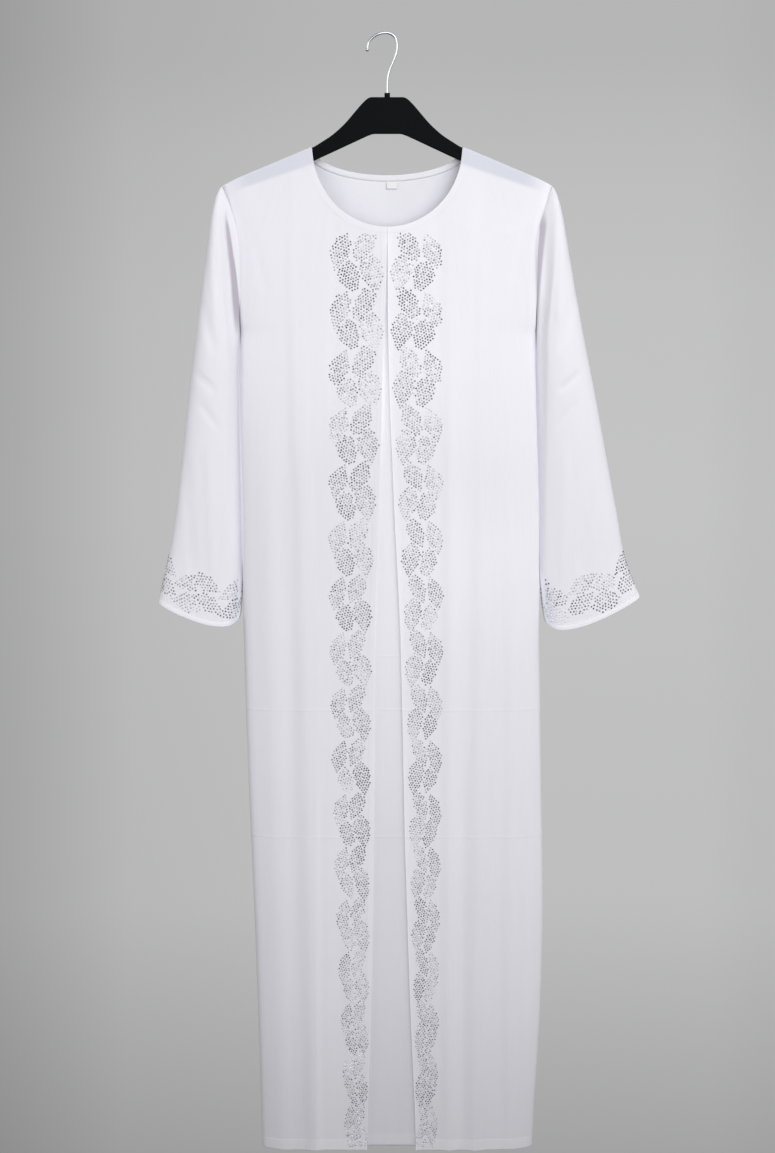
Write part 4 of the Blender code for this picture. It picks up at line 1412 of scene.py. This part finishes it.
class ABAYA_OT_cuff_borders(bpy.types.Operator):
    """Make the stone borders round the cuffs"""
    bl_idname = "abaya.cuff_borders"
    bl_label = "Cuff borders"

    def execute(self, context):
        """Run the same border round each cuff."""
        settings = context.scene.abaya_border
        material = stone_finish(settings)
        for name, side in SIDES:
            cuff = CuffMap(side)
            repeat = cuff.round[-1] / CUFF_REPEATS
            random = np.random.default_rng(settings.seed + 10 + side)
            across, down, pitch, tints = border_stones(
                lambda place: CUFF_BORDER_WIDTH, CUFF_REPEATS, repeat, settings, random, CUFF_PITCH)
            distance = cuff.round[-1] * CUFF_LOBE - LOBE_MIDDLE * repeat - down
            height = CUFF_BORDER_LOW + across * CUFF_BORDER_WIDTH
            along, angle = cuff.place(distance, height)
            shown = (np.cos(angle) > -CUFF_TURNED_IN) | (height < CUFF_INNER_HEIGHT)
            stones = np.array([along, angle, pitch, tints])[:, shown]
            mesh = set_stones(
                "cuff_stones_" + name, lambda a, b: sleeve_point(side, a, b),
                stones, settings, -side, random)
            add_piece(mesh, material, "cloth")
        return {"FINISHED"}


def sewn(surface, a, b, outward, length):
    """Frames of the stitches along a line on a surface."""
    points, _, normals = axes_on(surface, a, b)
    normals = normals * outward
    run = running_length(points)
    at = np.arange(length / 2, run[-1], length)

    def read(values, off=0.0):
        """Values along the line at every stitch, or a little beside it."""
        return np.stack([np.interp(at + off, run, values[:, axis]) for axis in (0, 1, 2)], axis=1)

    along = unit(read(points, 0.001) - read(points, -0.001))
    normal = unit(read(normals))
    across = np.cross(normal, along)
    place = read(points) + normal * STITCH_RADIUS * 0.3
    axes = (place, along * length * 0.42, across * STITCH_RADIUS, normal * STITCH_RADIUS)
    return np.stack(axes, axis=1)


class ABAYA_OT_stitching(bpy.types.Operator):
    """Sew the neck, front edges, hems and cuffs"""
    bl_idname = "abaya.stitching"
    bl_label = "Stitching"

    def execute(self, context):
        """Lay the stitch lines on the cloth, joined as one piece for each part of the garment."""
        settings = context.scene.abaya_cloth
        share = np.linspace(0, 1, 400)
        hem = np.full(400, HEM_Z + HEM_STITCH)
        fronts = []
        sleeves = []
        for side in (-1, 1):
            z = STITCH_TOP + (HEM_Z - STITCH_TOP) * share
            edge = by_side(OPENING, z, side) + side * EDGE_STITCH
            reach = half_width(np.array(HEM_Z), side)
            low = side * (HEM_STITCH_FROM + (reach - HEM_STITCH_FROM - EDGE_STITCH) * share)
            neck = neck_line(FRONT_NECK_DROP, side * NECK_SEWN * share, NECK_STITCH)
            for route in (neck, (edge, z), (low, hem)):
                fronts.append(sewn(lambda a, b: front_point(a, b, side), *route, 1, settings.stitch))
            cuff = CuffMap(side)
            route = cuff.place(cuff.round[-1] * 0.999 * share, np.full(400, CUFF_STITCH))
            sleeves.append(sewn(lambda a, b: sleeve_point(side, a, b), *route, -side, settings.stitch))
        neck = neck_line(BACK_NECK_DROP, 2 * NECK_SEWN * share - NECK_SEWN, NECK_STITCH)
        inside = neck_line(BACK_NECK_DROP, 2 * FACING_SEWN * share - FACING_SEWN, FACING_WIDTH - 0.001)
        low = BACK_HEM_FROM + BACK_HEM_WIDTH * share
        backs = [
            sewn(back_point, *neck, -1, settings.stitch),
            sewn(back_point, low, hem, -1, settings.stitch),
            sewn(facing_point, *inside, 1, settings.stitch),
        ]
        material = thread_finish(settings)
        for name, frames in (("front", fronts), ("back", backs), ("sleeve", sleeves)):
            mesh = joined(name + "_stitches", stitch_shape(), np.concatenate(frames))
            add_piece(mesh, material, "cloth")
        return {"FINISHED"}


def hook_line(along):
    """Places on the hook's wire and its directions, at distances from the tip."""
    Knot = namedtuple("Knot", "order x z")
    table = [Knot(order, *knot) for order, knot in enumerate(HOOK_ROUTE)]
    order = np.linspace(0, len(table) - 1, 400)
    x, z = (curve(table, order, axis, "order") for axis in ("x", "z"))
    run = np.append(0, np.cumsum(np.hypot(np.diff(x), np.diff(z))))
    inside = np.clip(along, 0, run[-1])
    run_x, run_z = (
        np.interp(inside + 0.001, run, axis) - np.interp(inside - 0.001, run, axis) for axis in (x, z))
    slope = np.arctan2(run_z, run_x)
    beyond = along - inside
    out_x = np.interp(inside, run, x) + beyond * np.cos(slope)
    out_z = np.interp(inside, run, z) + beyond * np.sin(slope)
    return out_x, out_z, slope, run[-1]


class ABAYA_OT_hanger(bpy.types.Operator):
    """Finish the hanger and make its hook"""
    bl_idname = "abaya.hanger"
    bl_label = "Hanger"

    def execute(self, context):
        """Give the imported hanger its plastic, and turn the hook's wire with its ball tip as one skin."""
        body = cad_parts["hanger_body"].data
        body.materials.clear()
        body.materials.append(plastic_finish())
        total = hook_line(np.array(0.0))[3]

        def place(angle, along):
            """Places on the skin of the wire and of its ball."""
            x, z, slope, _ = hook_line(along)
            ball = np.sqrt(np.maximum(TIP_BALL_RADIUS ** 2 - along ** 2, 0)) * (along < TIP_BALL_RADIUS)
            wire = WIRE_RADIUS * (along > 0) * (along < total - 1e-6)
            radius = np.maximum(ball, wire)
            turn = whole_turn(angle)
            out = radius * np.cos(turn)
            y = radius * np.sin(turn)
            return np.stack([x - out * np.sin(slope), y, z + out * np.cos(slope)], axis=-1), {}

        ball = -TIP_BALL_RADIUS * np.cos(np.linspace(0, pi, 17))
        along = np.concatenate([ball[:15], np.linspace(ball[14] + 0.0004, total - 0.0001, 150), [total]])
        mesh = cloth_grid("hook_wire", np.linspace(0, tau, 25), along, place, closed=True)
        add_piece(mesh, chrome_finish(), "hook_wire", "hanger_hook")
        return {"FINISHED"}


class ABAYA_OT_stage(bpy.types.Operator):
    """Make the floor, the soft lights, the backdrop's colour and the camera"""
    bl_idname = "abaya.stage"
    bl_label = "Stage"

    def execute(self, context):
        """Set up the studio."""
        settings = context.scene.abaya_stage
        form = bmesh.new()
        bmesh.ops.create_circle(form, cap_ends=True, segments=96, radius=FLOOR_RADIUS)
        bmesh.ops.translate(form, verts=form.verts, vec=(0, FLOOR_Y, HEM_Z - settings.floor_drop))
        mesh = bpy.data.meshes.new("floor")
        form.to_mesh(mesh)
        form.free()
        finish = new_finish("pale_floor")
        speckle = finish.noise(40.0, None, 3.0)
        color = finish.mix(speckle * 0.2, settings.floor, (0.5, 0.5, 0.51))
        mesh.materials.append(finish.set({}, {"Base Color": color, "Roughness": speckle * 0.1 + 0.8}))
        show(mesh)
        self.make_world(context.scene, settings)
        lights = (
            ("key", (1.10, -2.1, 0.70), (0.05, 0, -0.48), 3.0, settings.key),
            ("fill", (-2.0, -1.6, 0.1), (0, 0, -0.60), 2.0, settings.fill),
            ("rim", (-1.2, 1.9, 0.7), (0, 0, -0.7), 1.6, settings.rim),
        )
        for name, place, target, size, power in lights:
            lamp = bpy.data.lights.new(name, "AREA")
            lamp.size = size
            lamp.energy = power
            thing = show(lamp)
            thing.location = place
            aim = Vector(target) - Vector(place)
            thing.rotation_euler = aim.to_track_quat("-Z", "Y").to_euler()
        camera = bpy.data.cameras.new("camera")
        camera.sensor_width = SENSOR
        camera.lens = FOCAL_PIXELS / PHOTO_HEIGHT * SENSOR
        camera.clip_end = 50
        view = show(camera)
        view.location = CAMERA_PLACE
        view.rotation_euler = (CAMERA_TILT, 0, 0)
        context.scene.camera = view
        context.scene.view_settings.view_transform = "Standard"
        return {"FINISHED"}

    def make_world(self, scene, settings):
        """A grey studio wall, brightest behind the waist and darker below and at its left."""
        world = bpy.data.worlds.new("studio")
        scene.world = world
        sky = Finish(world)
        direction = sky.node("TexCoord", 0)
        sideways, upwards = (sky.node("SeparateXYZ", axis, None, {0: direction}) for axis in (0, 2))
        level = sky.ramp(upwards * 0.5 + 0.5, WALL_LEVELS, settings.backdrop)
        fade = sky.ramp(sideways + 0.5, WALL_SIDES, (1.0, 1.0, 1.0))
        color = sky.mix(1.0, level, fade, "MULTIPLY")
        sky.tree.links.new(color.socket, sky.tree.nodes["Background"].inputs["Color"])


class ABAYA_PT_sidebar(bpy.types.Panel):
    """Lists the abaya's pieces and settings"""
    bl_label = "Abaya"
    bl_idname = "ABAYA_PT_sidebar"
    bl_space_type = "VIEW_3D"
    bl_region_type = "UI"
    bl_category = "Abaya"

    def draw(self, context):
        """List a button for each piece, then the settings."""
        layout = self.layout
        for operator in OPERATORS:
            layout.operator(operator.bl_idname)
        for label, group in SETTINGS:
            box = layout.box()
            values = getattr(context.scene, label)
            for name in group.__annotations__:
                box.prop(values, name)


OPERATORS = (
    ABAYA_OT_fronts,
    ABAYA_OT_inner_front,
    ABAYA_OT_back,
    ABAYA_OT_sleeves,
    ABAYA_OT_neck_finish,
    ABAYA_OT_front_borders,
    ABAYA_OT_cuff_borders,
    ABAYA_OT_stitching,
    ABAYA_OT_hanger,
    ABAYA_OT_stage,
)
SETTINGS = (
    ("abaya_cloth", ClothSettings),
    ("abaya_border", BorderSettings),
    ("abaya_stage", StageSettings),
)


def register():
    """Register the settings, operators and panel."""
    for label, group in SETTINGS:
        bpy.utils.register_class(group)
        setattr(bpy.types.Scene, label, PointerProperty(type=group))
    for operator in OPERATORS:
        bpy.utils.register_class(operator)
    bpy.utils.register_class(ABAYA_PT_sidebar)


def unregister():
    """Remove them again."""
    bpy.utils.unregister_class(ABAYA_PT_sidebar)
    for operator in reversed(OPERATORS):
        bpy.utils.unregister_class(operator)
    for label, group in reversed(SETTINGS):
        delattr(bpy.types.Scene, label)
        bpy.utils.unregister_class(group)


def main():
    """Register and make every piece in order."""
    register()
    for operator in OPERATORS:
        family, name = operator.bl_idname.split(".")
        getattr(getattr(bpy.ops, family), name)()


if __name__ == "__main__":
    main()
